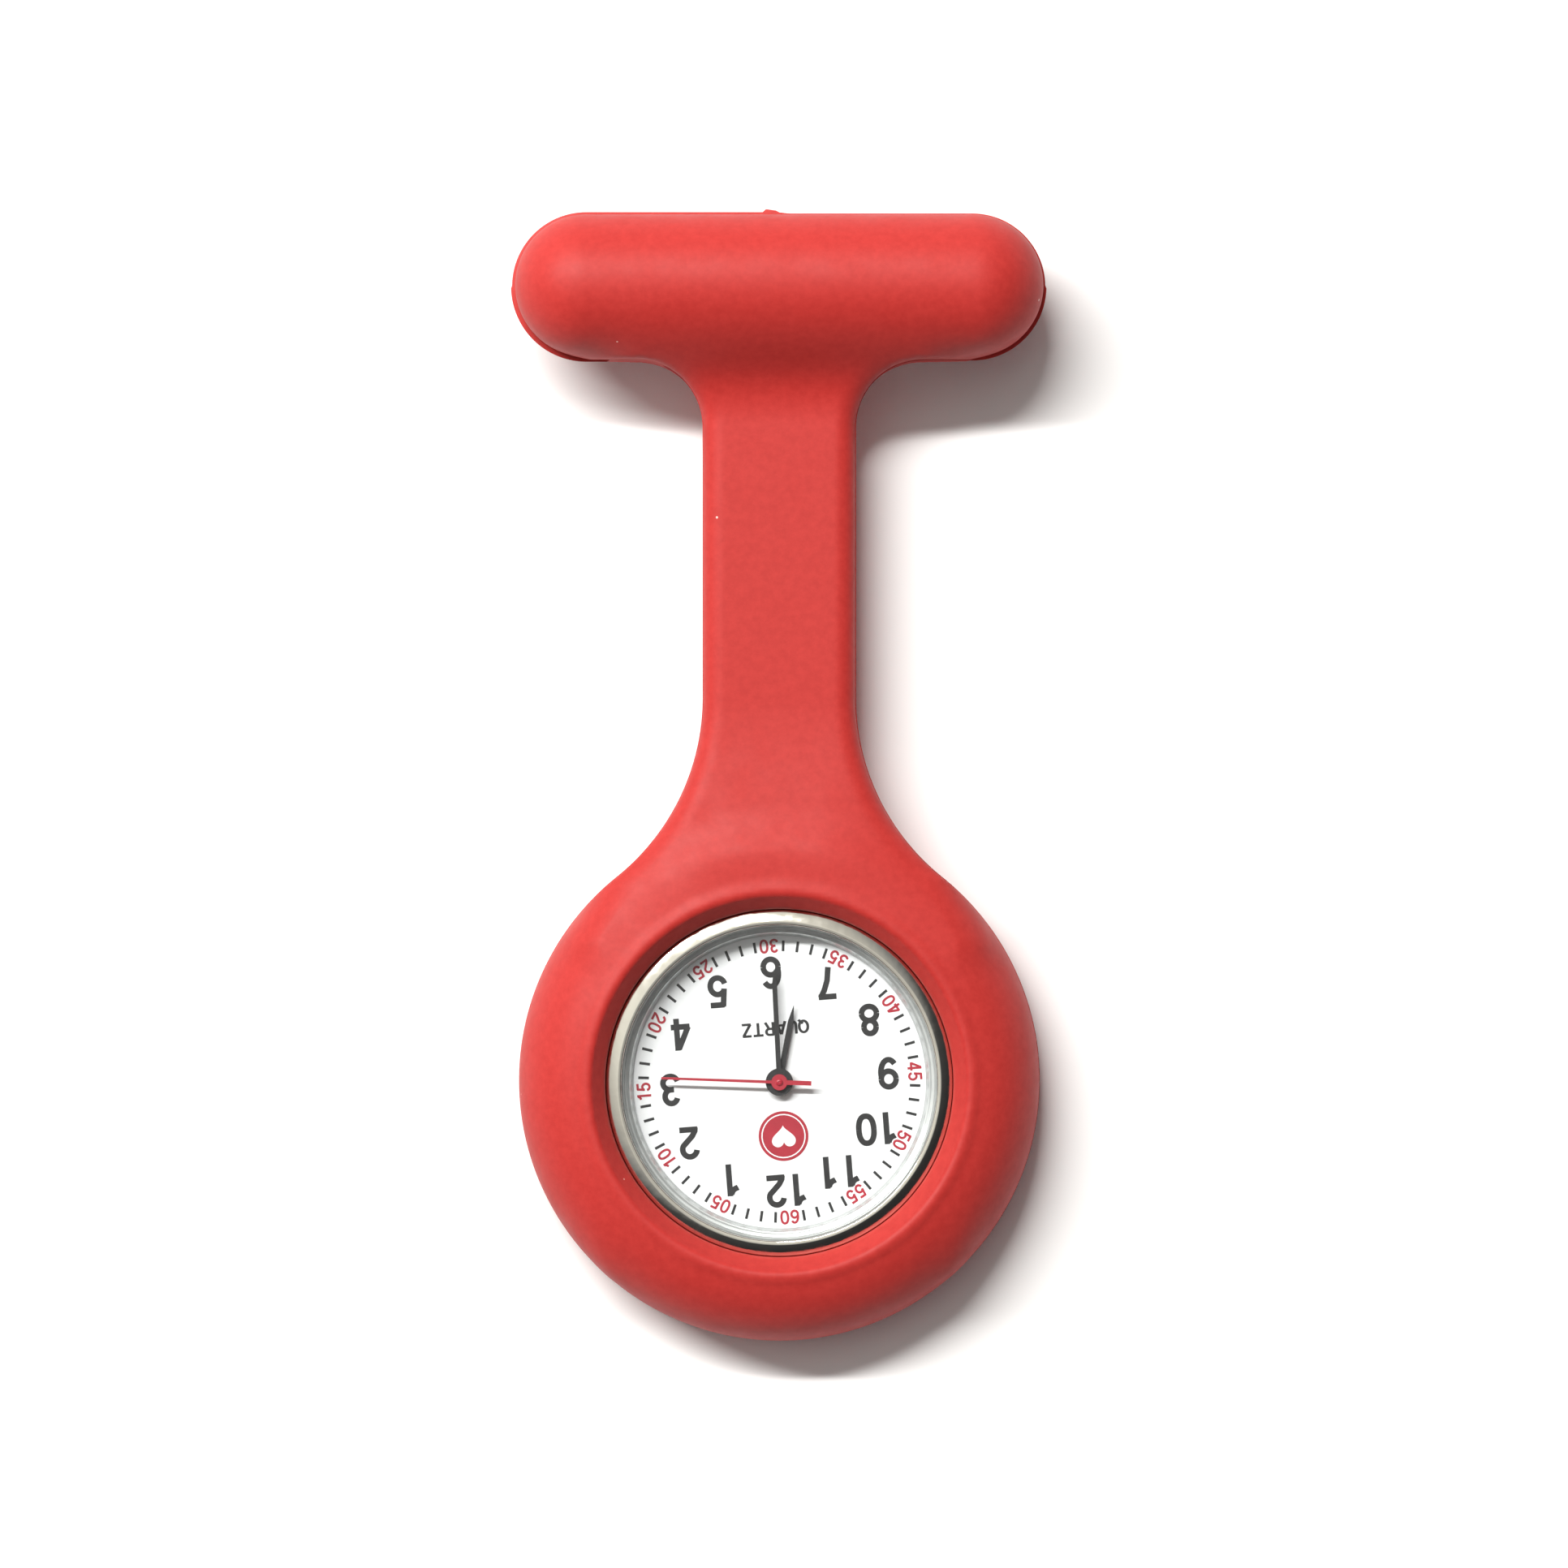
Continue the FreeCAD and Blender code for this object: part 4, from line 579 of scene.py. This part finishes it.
def print_dial(black, red, white):
    """The numbers, the word and the emblem."""
    print_numbers(black, red)
    word = Print()
    word.add(lettering("QUARTZ", WORD_HEIGHT, WORD_STROKE, WORD_SPACING, WORD_STRETCH),
             *clock_place(30, WORD_CIRCLE))
    word.finish("dial_lettering", black, "hand_black")
    disc = Print()
    disc.add(plate([arc(0, 0, EMBLEM_RADIUS, 0, 355, 5)]), *clock_place(0, EMBLEM_CIRCLE))
    disc.finish("dial_emblem_disc", red, "hand_red")
    heart = Print()
    circle = round_stroke(0, 0, EMBLEM_RIM_RADIUS, EMBLEM_RIM_RADIUS)
    rim = [ribbon(half, EMBLEM_RIM_WIDTH) for half in circle]
    points, faces = plate([heart_outline(HEART_WIDTH)] + rim)
    heart.add((points + [0, 0, PRINT_TOP], faces), *clock_place(0, EMBLEM_CIRCLE))
    heart.finish("dial_emblem_heart", white, "dial_white")


def heart_outline(width):
    """A plain heart: two round lobes over a point, on a curve 32 units wide."""
    unit, lift = width / 32, 2.5
    points = []
    for share in np.linspace(0, 2 * math.pi, 60, endpoint=False):
        x = 16 * math.sin(share) ** 3
        y = 13 * math.cos(share) - 5 * math.cos(2 * share) - 2 * math.cos(3 * share) - math.cos(4 * share)
        points.append((x * unit, (y + lift) * unit))
    return points[::-1]


# ---------------------------------------------------------------- bezel, flange and second hand

RING_SIDES = 240


def lathe(name, outline, material, body, sides=48, ring=False):
    """A round piece on the dial's axis from (radius, height) points, closed by caps or as a ring."""
    angles = np.linspace(0, 2 * math.pi, sides, endpoint=False)
    points = [(r * math.cos(a), r * math.sin(a), z) for a in angles for r, z in outline]
    rows = len(outline)
    faces = []
    if not ring:
        faces.append(tuple(i * rows for i in reversed(range(sides))))
        faces.append(tuple((i + 1) * rows - 1 for i in range(sides)))
    for i in range(sides):
        here, after = i * rows, (i + 1) % sides * rows
        for j in range(rows if ring else rows - 1):
            up = (j + 1) % rows
            faces.append((here + j, after + j, after + up, here + up))
    obj = smooth_object(name, points, faces, material, sharp=35)
    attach(obj, body)
    return obj


def tangent_arcs(x, y, arcs):
    """Points on arcs that run on from (x, y), each given as its radius and the angle it turns to."""
    points, heading = [(x, y)], 0
    for radius, turned in arcs:
        along, up = polar(radius, heading)
        points += arc(x - along, y - up, radius, heading, turned, 3)[1:]
        (x, y), heading = points[-1], turned
    return points


BEZEL_CREST = 0.337
BEZEL_LEDGE = 12.36
BEZEL_BORE = 12.1
BEZEL_FLOOR = 7.12
BEZEL_CLEARANCE = 0.03

# Radius and end angle of each arc over the bezel's top, from its outer wall
BEZEL_ARCS = [(0.1, 69), (6.0, 76.5), (0.4, 94), (1.8, 98), (0.1, 180)]


def bezel_ring(material):
    """A polished bezel: a long outer slope, a narrow crest and a nearly flat inner band."""
    outer = (BEZEL_HIGH.x - BEZEL_LOW.x) / 2
    top = tangent_arcs(outer, BEZEL_HIGH.z - BEZEL_CREST, BEZEL_ARCS)
    over_crystal = CRYSTAL_TOP + BEZEL_CLEARANCE
    outline = ([(BEZEL_LEDGE, BEZEL_LOW.z), (outer, BEZEL_LOW.z)] + top
               + [(top[-1][0], over_crystal), (BEZEL_BORE, over_crystal)]
               + [(BEZEL_BORE, BEZEL_FLOOR), (BEZEL_LEDGE, BEZEL_FLOOR)])
    piece = lathe("bezel_ring", outline, material, "watch_head", sides=RING_SIDES, ring=True)
    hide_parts("bezel")


FLANGE_OVERLAP = 0.2
FLANGE_RIM, FLANGE_WALL = 0.4, 0.1
FLANGE_WALL_DROP, FLANGE_SHELF_DROP = 0.5, 0.65
FLANGE_TOE, FLANGE_TOE_HEIGHT = 0.25, 0.3


def flange_ring(material):
    """The stepped ring between the bezel and the dial: rim, wall, shelf and toe."""
    low, high = node_box("inner_flange")
    outer, inner = (high.x - low.x) / 2, (DIAL_HIGH.x - DIAL_LOW.x) / 2 - FLANGE_OVERLAP
    wall = outer - FLANGE_RIM
    outline = [(inner, low.z), (outer, low.z), (outer, high.z), (wall, high.z),
               (wall - FLANGE_WALL, high.z - FLANGE_WALL_DROP),
               (inner + FLANGE_TOE, high.z - FLANGE_SHELF_DROP), (inner, low.z + FLANGE_TOE_HEIGHT)]
    piece = lathe("flange_ring", outline, material, "watch_head", sides=RING_SIDES, ring=True)
    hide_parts("inner_flange")


HAND_THICKNESS = 0.1
HAND_ROOT_HALF = 0.115
HAND_TIP_HALF = 0.085
TAIL_LENGTH = 2.4
TAIL_HALF = 0.17
BOSS_RADIUS = 0.6
PIPE_RADIUS = BOSS_RADIUS / 2
BOSS_STEP = 0.01
TIP_SLACK = 0.02
CAP_OUTLINE = [(0.26, 0.0), (0.26, 0.07), (0.22, 0.12), (0.12, 0.15), (0.09, 0.10)]


def second_hand(material):
    """The red hand: a blade and tail turned as the frame's own hand is, and a boss with pipe and cap."""
    mesh = frame["nodes"]["second_hand"].data
    flat = [corner.co.to_2d() / MM - HEAD.to_2d() for corner in mesh.vertices]
    length = max(point.length for point in flat)
    tip = sum((point for point in flat if point.length > length - TIP_SLACK), Vector((0, 0)))
    top, bottom = SECOND_HIGH.z, SECOND_HIGH.z - HAND_THICKNESS
    tail = [(-TAIL_HALF, -TAIL_LENGTH), (TAIL_HALF, -TAIL_LENGTH), (TAIL_HALF, 0), (-TAIL_HALF, 0)]
    blade = [(HAND_ROOT_HALF, 0), (HAND_TIP_HALF, length), (-HAND_TIP_HALF, length), (-HAND_ROOT_HALF, 0)]
    points, faces = plate([tail, blade], bottom, top)
    points = turned_by(points, math.atan2(-tip.x, tip.y))
    piece = smooth_object("second_hand_blade", points, faces, material, sharp=30)
    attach(piece, "second_arbor")
    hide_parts("second_hand")
    under, over = bottom - BOSS_STEP, top + BOSS_STEP
    outline = [(PIPE_RADIUS, SECOND_LOW.z), (PIPE_RADIUS, under), (BOSS_RADIUS, under), (BOSS_RADIUS, over)]
    outline += [(radius, over + rise) for radius, rise in CAP_OUTLINE]
    lathe("second_hand_cap", outline, material, "second_arbor")


# ---------------------------------------------------------------- materials

def fill_ramp(ramp, stops):
    """Sets a colour ramp's stops, each a place and a grey or a colour."""
    while len(ramp.elements) < len(stops):
        ramp.elements.new(0.5)
    for element, (at, tone) in zip(ramp.elements, stops):
        element.position = at
        element.color = (tone, tone, tone, 1) if isinstance(tone, (int, float)) else (*tone, 1)


class Finish:
    """A Principled material with helpers for grain; one texture unit is a millimetre."""

    def __init__(self, name, colour, roughness, **sockets):
        self.material = bpy.data.materials.new(name)
        self.material.use_nodes = True
        self.tree = self.material.node_tree
        self.shader = self.tree.nodes["Principled BSDF"]
        self.set("Base Color", (*colour, 1))
        self.set("Roughness", roughness)
        for key, value in sockets.items():
            self.set(key.replace("_", " "), value)
        place = self.tree.nodes.new("ShaderNodeTexCoord")
        scale = self.tree.nodes.new("ShaderNodeVectorMath")
        scale.operation = "SCALE"
        scale.inputs["Scale"].default_value = 1 / MM
        self.link(place.outputs["Object"], scale.inputs[0])
        self.place = scale.outputs[0]
        self.normal = None

    def set(self, socket, value):
        """A value on one of the shader's sockets."""
        self.shader.inputs[socket].default_value = value

    def link(self, source, target):
        self.tree.links.new(source, target)

    def noise(self, scale, detail=3.0, stretch=(1, 1, 1), roughness=0.5):
        """A noise value, scale times per millimetre."""
        mapping = self.tree.nodes.new("ShaderNodeMapping")
        mapping.inputs["Scale"].default_value = stretch
        self.link(self.place, mapping.inputs["Vector"])
        noise = self.tree.nodes.new("ShaderNodeTexNoise")
        noise.inputs["Scale"].default_value = scale
        noise.inputs["Detail"].default_value = detail
        noise.inputs["Roughness"].default_value = roughness
        self.link(mapping.outputs[0], noise.inputs["Vector"])
        return noise.outputs[0]

    def ramp(self, value, stops):
        """Colours or greys by value; stops are (place, grey or colour)."""
        ramp = self.tree.nodes.new("ShaderNodeValToRGB")
        fill_ramp(ramp.color_ramp, stops)
        self.link(value, ramp.inputs[0])
        return ramp.outputs[0]

    def colour(self, value, stops):
        """Base colour by a noise value."""
        self.link(self.ramp(value, stops), self.shader.inputs["Base Color"])

    def roughness(self, value, low, high):
        """Roughness from low to high over the middle of a noise value."""
        self.link(self.ramp(value, [(0.3, low), (0.7, high)]), self.shader.inputs["Roughness"])

    def bump(self, value, depth, strength=1.0):
        """Bump of a depth in millimetres, on top of any earlier one."""
        bump = self.tree.nodes.new("ShaderNodeBump")
        bump.inputs["Strength"].default_value = strength
        bump.inputs["Distance"].default_value = depth * MM
        self.link(value, bump.inputs["Height"])
        if self.normal:
            self.link(self.normal, bump.inputs["Normal"])
        self.normal = bump.outputs[0]
        self.link(self.normal, self.shader.inputs["Normal"])

    def spots(self, scale, size):
        """1 inside sparse round spots, 0 outside."""
        cells = self.tree.nodes.new("ShaderNodeTexVoronoi")
        cells.inputs["Scale"].default_value = scale
        self.link(self.place, cells.inputs["Vector"])
        return self.ramp(cells.outputs["Distance"], [(size * 0.6, 1.0), (size, 0.0)])

    def radius(self):
        """Distance from the dial's axis, in millimetres."""
        shift = self.tree.nodes.new("ShaderNodeVectorMath")
        shift.operation = "SUBTRACT"
        shift.inputs[1].default_value = (HEAD.x, HEAD.y, 0)
        self.link(self.place, shift.inputs[0])
        flat = self.tree.nodes.new("ShaderNodeVectorMath")
        flat.operation = "MULTIPLY"
        flat.inputs[1].default_value = (1, 1, 0)
        self.link(shift.outputs[0], flat.inputs[0])
        length = self.tree.nodes.new("ShaderNodeVectorMath")
        length.operation = "LENGTH"
        self.link(flat.outputs[0], length.inputs[0])
        return length.outputs["Value"]

    def math(self, operation, first, second):
        """A math node's result; each input is a number or a socket."""
        node = self.tree.nodes.new("ShaderNodeMath")
        node.operation = operation
        for socket, value in zip(node.inputs, (first, second)):
            if isinstance(value, (int, float)):
                socket.default_value = value
            else:
                self.link(value, socket)
        return node.outputs[0]


def silicone():
    """Matt red silicone with a faint mottle and a few pale specks of dust."""
    finish = Finish("red_silicone", (0.445, 0.028, 0.023), 0.55, Specular_IOR_Level=0.25)
    tone = finish.noise(1.6, 6, roughness=0.65)
    clean = finish.ramp(tone, [(0.35, (0.42, 0.025, 0.021)), (0.65, (0.47, 0.031, 0.026))])
    mix = finish.tree.nodes.new("ShaderNodeMix")
    mix.data_type = "RGBA"
    mix.inputs["B"].default_value = (0.85, 0.55, 0.50, 1)
    finish.link(finish.spots(0.22, 0.024), mix.inputs["Factor"])
    finish.link(clean, mix.inputs["A"])
    finish.link(mix.outputs["Result"], finish.shader.inputs["Base Color"])
    finish.roughness(finish.noise(0.5, 5), 0.50, 0.58)
    finish.bump(finish.noise(9.0, 4), 0.006, 0.6)
    return finish.material


def brushed_steel():
    """Pressed steel with a fine grain along one way."""
    finish = Finish("pressed_steel", (0.60, 0.60, 0.59), 0.3, Metallic=1.0)
    grain = finish.noise(6.0, 4, stretch=(0.08, 1, 1))
    finish.colour(finish.noise(0.3), [(0.3, (0.52, 0.52, 0.51)), (0.7, (0.64, 0.64, 0.63))])
    finish.roughness(grain, 0.2, 0.4)
    finish.bump(grain, 0.003, 0.5)
    return finish.material


def chrome():
    """Warm bright plating, very slightly uneven."""
    finish = Finish("chrome_plate", (0.83, 0.805, 0.72), 0.08, Metallic=1.0)
    finish.roughness(finish.noise(1.2, 5), 0.04, 0.13)
    finish.bump(finish.noise(0.7, 2), 0.03, 0.5)
    finish.bump(finish.noise(12.0, 2), 0.001, 0.4)
    return finish.material


def glass():
    """Clear crystal: mostly transparent, with a weak mirror at grazing angles."""
    finish = Finish("mineral_glass", (1, 1, 1), 0.02)
    nodes = finish.tree.nodes
    clear = nodes.new("ShaderNodeBsdfTransparent")
    clear.inputs["Color"].default_value = (0.995, 1, 1, 1)
    mirror = nodes.new("ShaderNodeBsdfGlossy")
    mirror.inputs["Roughness"].default_value = 0.02
    edge = nodes.new("ShaderNodeLayerWeight")
    strength = finish.ramp(edge.outputs["Facing"], [(0.0, 0.015), (0.55, 0.03), (0.8, 0.12), (1.0, 0.8)])
    mix = nodes.new("ShaderNodeMixShader")
    finish.link(strength, mix.inputs["Fac"])
    finish.link(clear.outputs[0], mix.inputs[1])
    finish.link(mirror.outputs[0], mix.inputs[2])
    finish.link(mix.outputs[0], nodes["Material Output"].inputs["Surface"])
    nodes.remove(finish.shader)
    return finish.material


def flange_grey():
    """Satin silver paint with fine turned rings."""
    finish = Finish("flange_silver", (0.60, 0.62, 0.61), 0.35, Metallic=0.6)
    rings = finish.math("SINE", finish.math("MULTIPLY", finish.radius(), 21.0), 0.0)
    finish.colour(finish.noise(0.8), [(0.3, (0.55, 0.57, 0.56)), (0.7, (0.66, 0.68, 0.67))])
    finish.bump(rings, 0.02, 0.6)
    return finish.material


def painted(name, low, high, roughness, grain=20.0):
    """Satin paint with faint mottling."""
    finish = Finish(name, low, roughness, Coat_Weight=0.2, Coat_Roughness=0.3)
    finish.colour(finish.noise(1.5, 4), [(0.3, low), (0.7, high)])
    finish.bump(finish.noise(grain, 3), 0.002, 0.5)
    return finish.material


def metal(name, low, high, roughness, stretch=(1, 1, 1)):
    """Machined metal with directional grain."""
    finish = Finish(name, low, roughness, Metallic=1.0)
    grain = finish.noise(8.0, 4, stretch=stretch)
    finish.colour(finish.noise(1.0, 4), [(0.3, low), (0.7, high)])
    finish.roughness(grain, roughness * 0.7, roughness * 1.3)
    finish.bump(grain, 0.002, 0.5)
    return finish.material


def moulded(name, low, high, roughness, grain=6.0):
    """Moulded plastic or rubber with a fine spark-eroded texture."""
    finish = Finish(name, low, roughness)
    finish.colour(finish.noise(0.6, 4), [(0.3, low), (0.7, high)])
    finish.roughness(finish.noise(2.0, 4), roughness * 0.85, roughness * 1.15)
    finish.bump(finish.noise(grain, 3), 0.008, 0.5)
    return finish.material


MATERIALS = {
    "silicone": silicone(),
    "silicone_black": moulded("seal_rubber", (0.020, 0.020, 0.021), (0.035, 0.034, 0.033), 0.6),
    "steel": brushed_steel(),
    "chrome": chrome(),
    "glass": glass(),
    "flange_grey": flange_grey(),
    "dial_white": painted("dial_enamel", (0.82, 0.835, 0.85), (0.86, 0.87, 0.88), 0.4),
    "hand_black": painted("black_paint", (0.012, 0.012, 0.013), (0.022, 0.022, 0.024), 0.4),
    "hand_red": painted("red_paint", (0.36, 0.012, 0.028), (0.42, 0.016, 0.036), 0.42),
    "brass": metal("brass", (0.66, 0.48, 0.22), (0.78, 0.58, 0.30), 0.28),
    "copper": metal("wound_copper", (0.62, 0.26, 0.13), (0.78, 0.38, 0.20), 0.35, stretch=(1, 6, 6)),
    "plastic_white": moulded("white_plastic", (0.78, 0.78, 0.74), (0.86, 0.86, 0.83), 0.5),
    "plastic_black": moulded("black_plastic", (0.025, 0.025, 0.028), (0.045, 0.045, 0.05), 0.45),
    "board_green": moulded("circuit_lacquer", (0.012, 0.10, 0.035), (0.02, 0.16, 0.06), 0.3, grain=3.0),
    "magnet": metal("sintered_magnet", (0.16, 0.16, 0.17), (0.26, 0.26, 0.27), 0.45),
}
NODE_SLOT = {part["node"]: part["material_slot"] for part in frame["record"]["subparts"]}


def dress_cad_nodes():
    """Gives every CAD node the finished material of its slot."""
    for name, obj in frame["nodes"].items():
        obj.data.materials.clear()
        obj.data.materials.append(MATERIALS[NODE_SLOT[name]])


# ---------------------------------------------------------------- table, light and camera

VIEW_WIDTH = 117.9
CAMERA_DISTANCE = 500.0
FOCUS_HEIGHT = 5.0
CAMERA_CENTRE = (0.35, -0.4)
SENSOR = 36.0
TABLE_HALF = 1500.0
TABLE_DROP = 0.02
LIGHT_PLACE = (-370.0, 360.0, 650.0)
LIGHT_LENGTH = 720.0
LIGHT_WIDTH = 50.0
LIGHT_POWER = 11.6
SKY_BRIGHTEST = (-0.30, 0.34, 0.89)
SKY_STRENGTH = 0.95
SKY_STOPS = [(0.0, (0.02, 0.02, 0.022)), (0.50, (0.03, 0.03, 0.032)), (0.74, (0.03, 0.03, 0.032)),
             (0.83, (0.06, 0.06, 0.062)), (0.88, (0.30, 0.30, 0.30)), (0.94, (0.64, 0.62, 0.58)),
             (0.975, (0.96, 0.94, 0.88)), (1.0, (1.0, 0.98, 0.92))]
HORIZON_GLOW = (("From Min", 0.12), ("From Max", 0.45), ("To Min", 0.55), ("To Max", 0.0))


def table():
    """White card under the object."""
    size = TABLE_HALF * MM
    mesh = bpy.data.meshes.new("table")
    corners = [(-size, -size, 0), (size, -size, 0), (size, size, 0), (-size, size, 0)]
    mesh.from_pydata(corners, [], [(0, 1, 2, 3)])
    finish = Finish("white_card", (0.90, 0.90, 0.90), 0.9, Specular_IOR_Level=0.1)
    finish.colour(finish.noise(0.05, 3), [(0.3, (0.90, 0.90, 0.90)), (0.7, (0.92, 0.92, 0.92))])
    mesh.materials.append(finish.material)
    obj = bpy.data.objects.new("table", mesh)
    obj.location.z = cad_box[0][2] - TABLE_DROP * MM
    bpy.context.scene.collection.objects.link(obj)


def key_light():
    """A long strip of light above the bar: soft shadows to the right, crisp ones below."""
    lamp = bpy.data.lights.new("key", "AREA")
    lamp.shape = "RECTANGLE"
    lamp.size = LIGHT_LENGTH * MM
    lamp.size_y = LIGHT_WIDTH * MM
    lamp.energy = LIGHT_POWER
    lamp.color = (1.0, 0.985, 0.96)
    obj = bpy.data.objects.new("key", lamp)
    obj.location = Vector(LIGHT_PLACE) * MM
    obj.rotation_euler = (-math.atan2(LIGHT_PLACE[1], LIGHT_PLACE[2]), 0, 0)
    bpy.context.scene.collection.objects.link(obj)


def room():
    """A soft sky: bright high in the upper left, dark high in the lower right, pale at the horizon."""
    world = bpy.data.worlds.new("room")
    world.use_nodes = True
    nodes, links = world.node_tree.nodes, world.node_tree.links
    place = nodes.new("ShaderNodeTexCoord")
    dot = nodes.new("ShaderNodeVectorMath")
    dot.operation = "DOT_PRODUCT"
    dot.inputs[1].default_value = SKY_BRIGHTEST
    share = nodes.new("ShaderNodeMath")
    share.operation = "MULTIPLY_ADD"
    share.inputs[1].default_value = 0.5
    share.inputs[2].default_value = 0.5
    sky = nodes.new("ShaderNodeValToRGB")
    fill_ramp(sky.color_ramp, SKY_STOPS)
    parts = nodes.new("ShaderNodeSeparateXYZ")
    horizon = nodes.new("ShaderNodeMapRange")
    for socket, value in HORIZON_GLOW:
        horizon.inputs[socket].default_value = value
    brighter = nodes.new("ShaderNodeMix")
    brighter.data_type = "RGBA"
    brighter.blend_type = "LIGHTEN"
    brighter.inputs["Factor"].default_value = 1.0
    background = nodes["Background"]
    background.inputs["Strength"].default_value = SKY_STRENGTH
    links.new(place.outputs["Generated"], dot.inputs[0])
    links.new(dot.outputs["Value"], share.inputs[0])
    links.new(share.outputs[0], sky.inputs[0])
    links.new(place.outputs["Generated"], parts.inputs[0])
    links.new(parts.outputs["Z"], horizon.inputs["Value"])
    links.new(sky.outputs[0], brighter.inputs["A"])
    links.new(horizon.outputs[0], brighter.inputs["B"])
    links.new(brighter.outputs["Result"], background.inputs["Color"])
    bpy.context.scene.world = world


def camera():
    """Straight above, as far away as a hand-held camera."""
    data = bpy.data.cameras.new("camera")
    data.sensor_width = SENSOR
    data.lens = SENSOR * CAMERA_DISTANCE / VIEW_WIDTH
    data.clip_start = 0.01
    obj = bpy.data.objects.new("camera", data)
    x, y = CAMERA_CENTRE
    obj.location = Vector((x, y, CAMERA_DISTANCE + FOCUS_HEIGHT)) * MM
    bpy.context.scene.collection.objects.link(obj)
    bpy.context.scene.camera = obj


# ---------------------------------------------------------------- assembly

def build():
    """The whole scene."""
    dress_cad_nodes()
    rubber = MATERIALS["silicone"]
    holder = silicone_holder(rubber)
    flash = mould_flash(rubber)
    for piece in (holder, flash):
        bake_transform(piece)
    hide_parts("watch_ring", "strap_flex_zone", "top_bar")

    print_dial(MATERIALS["hand_black"], MATERIALS["hand_red"], MATERIALS["dial_white"])
    bezel_ring(MATERIALS["chrome"])
    flange_ring(MATERIALS["flange_grey"])
    second_hand(MATERIALS["hand_red"])
    table()
    key_light()
    room()
    camera()
    bpy.context.scene.view_settings.view_transform = "Standard"


build()
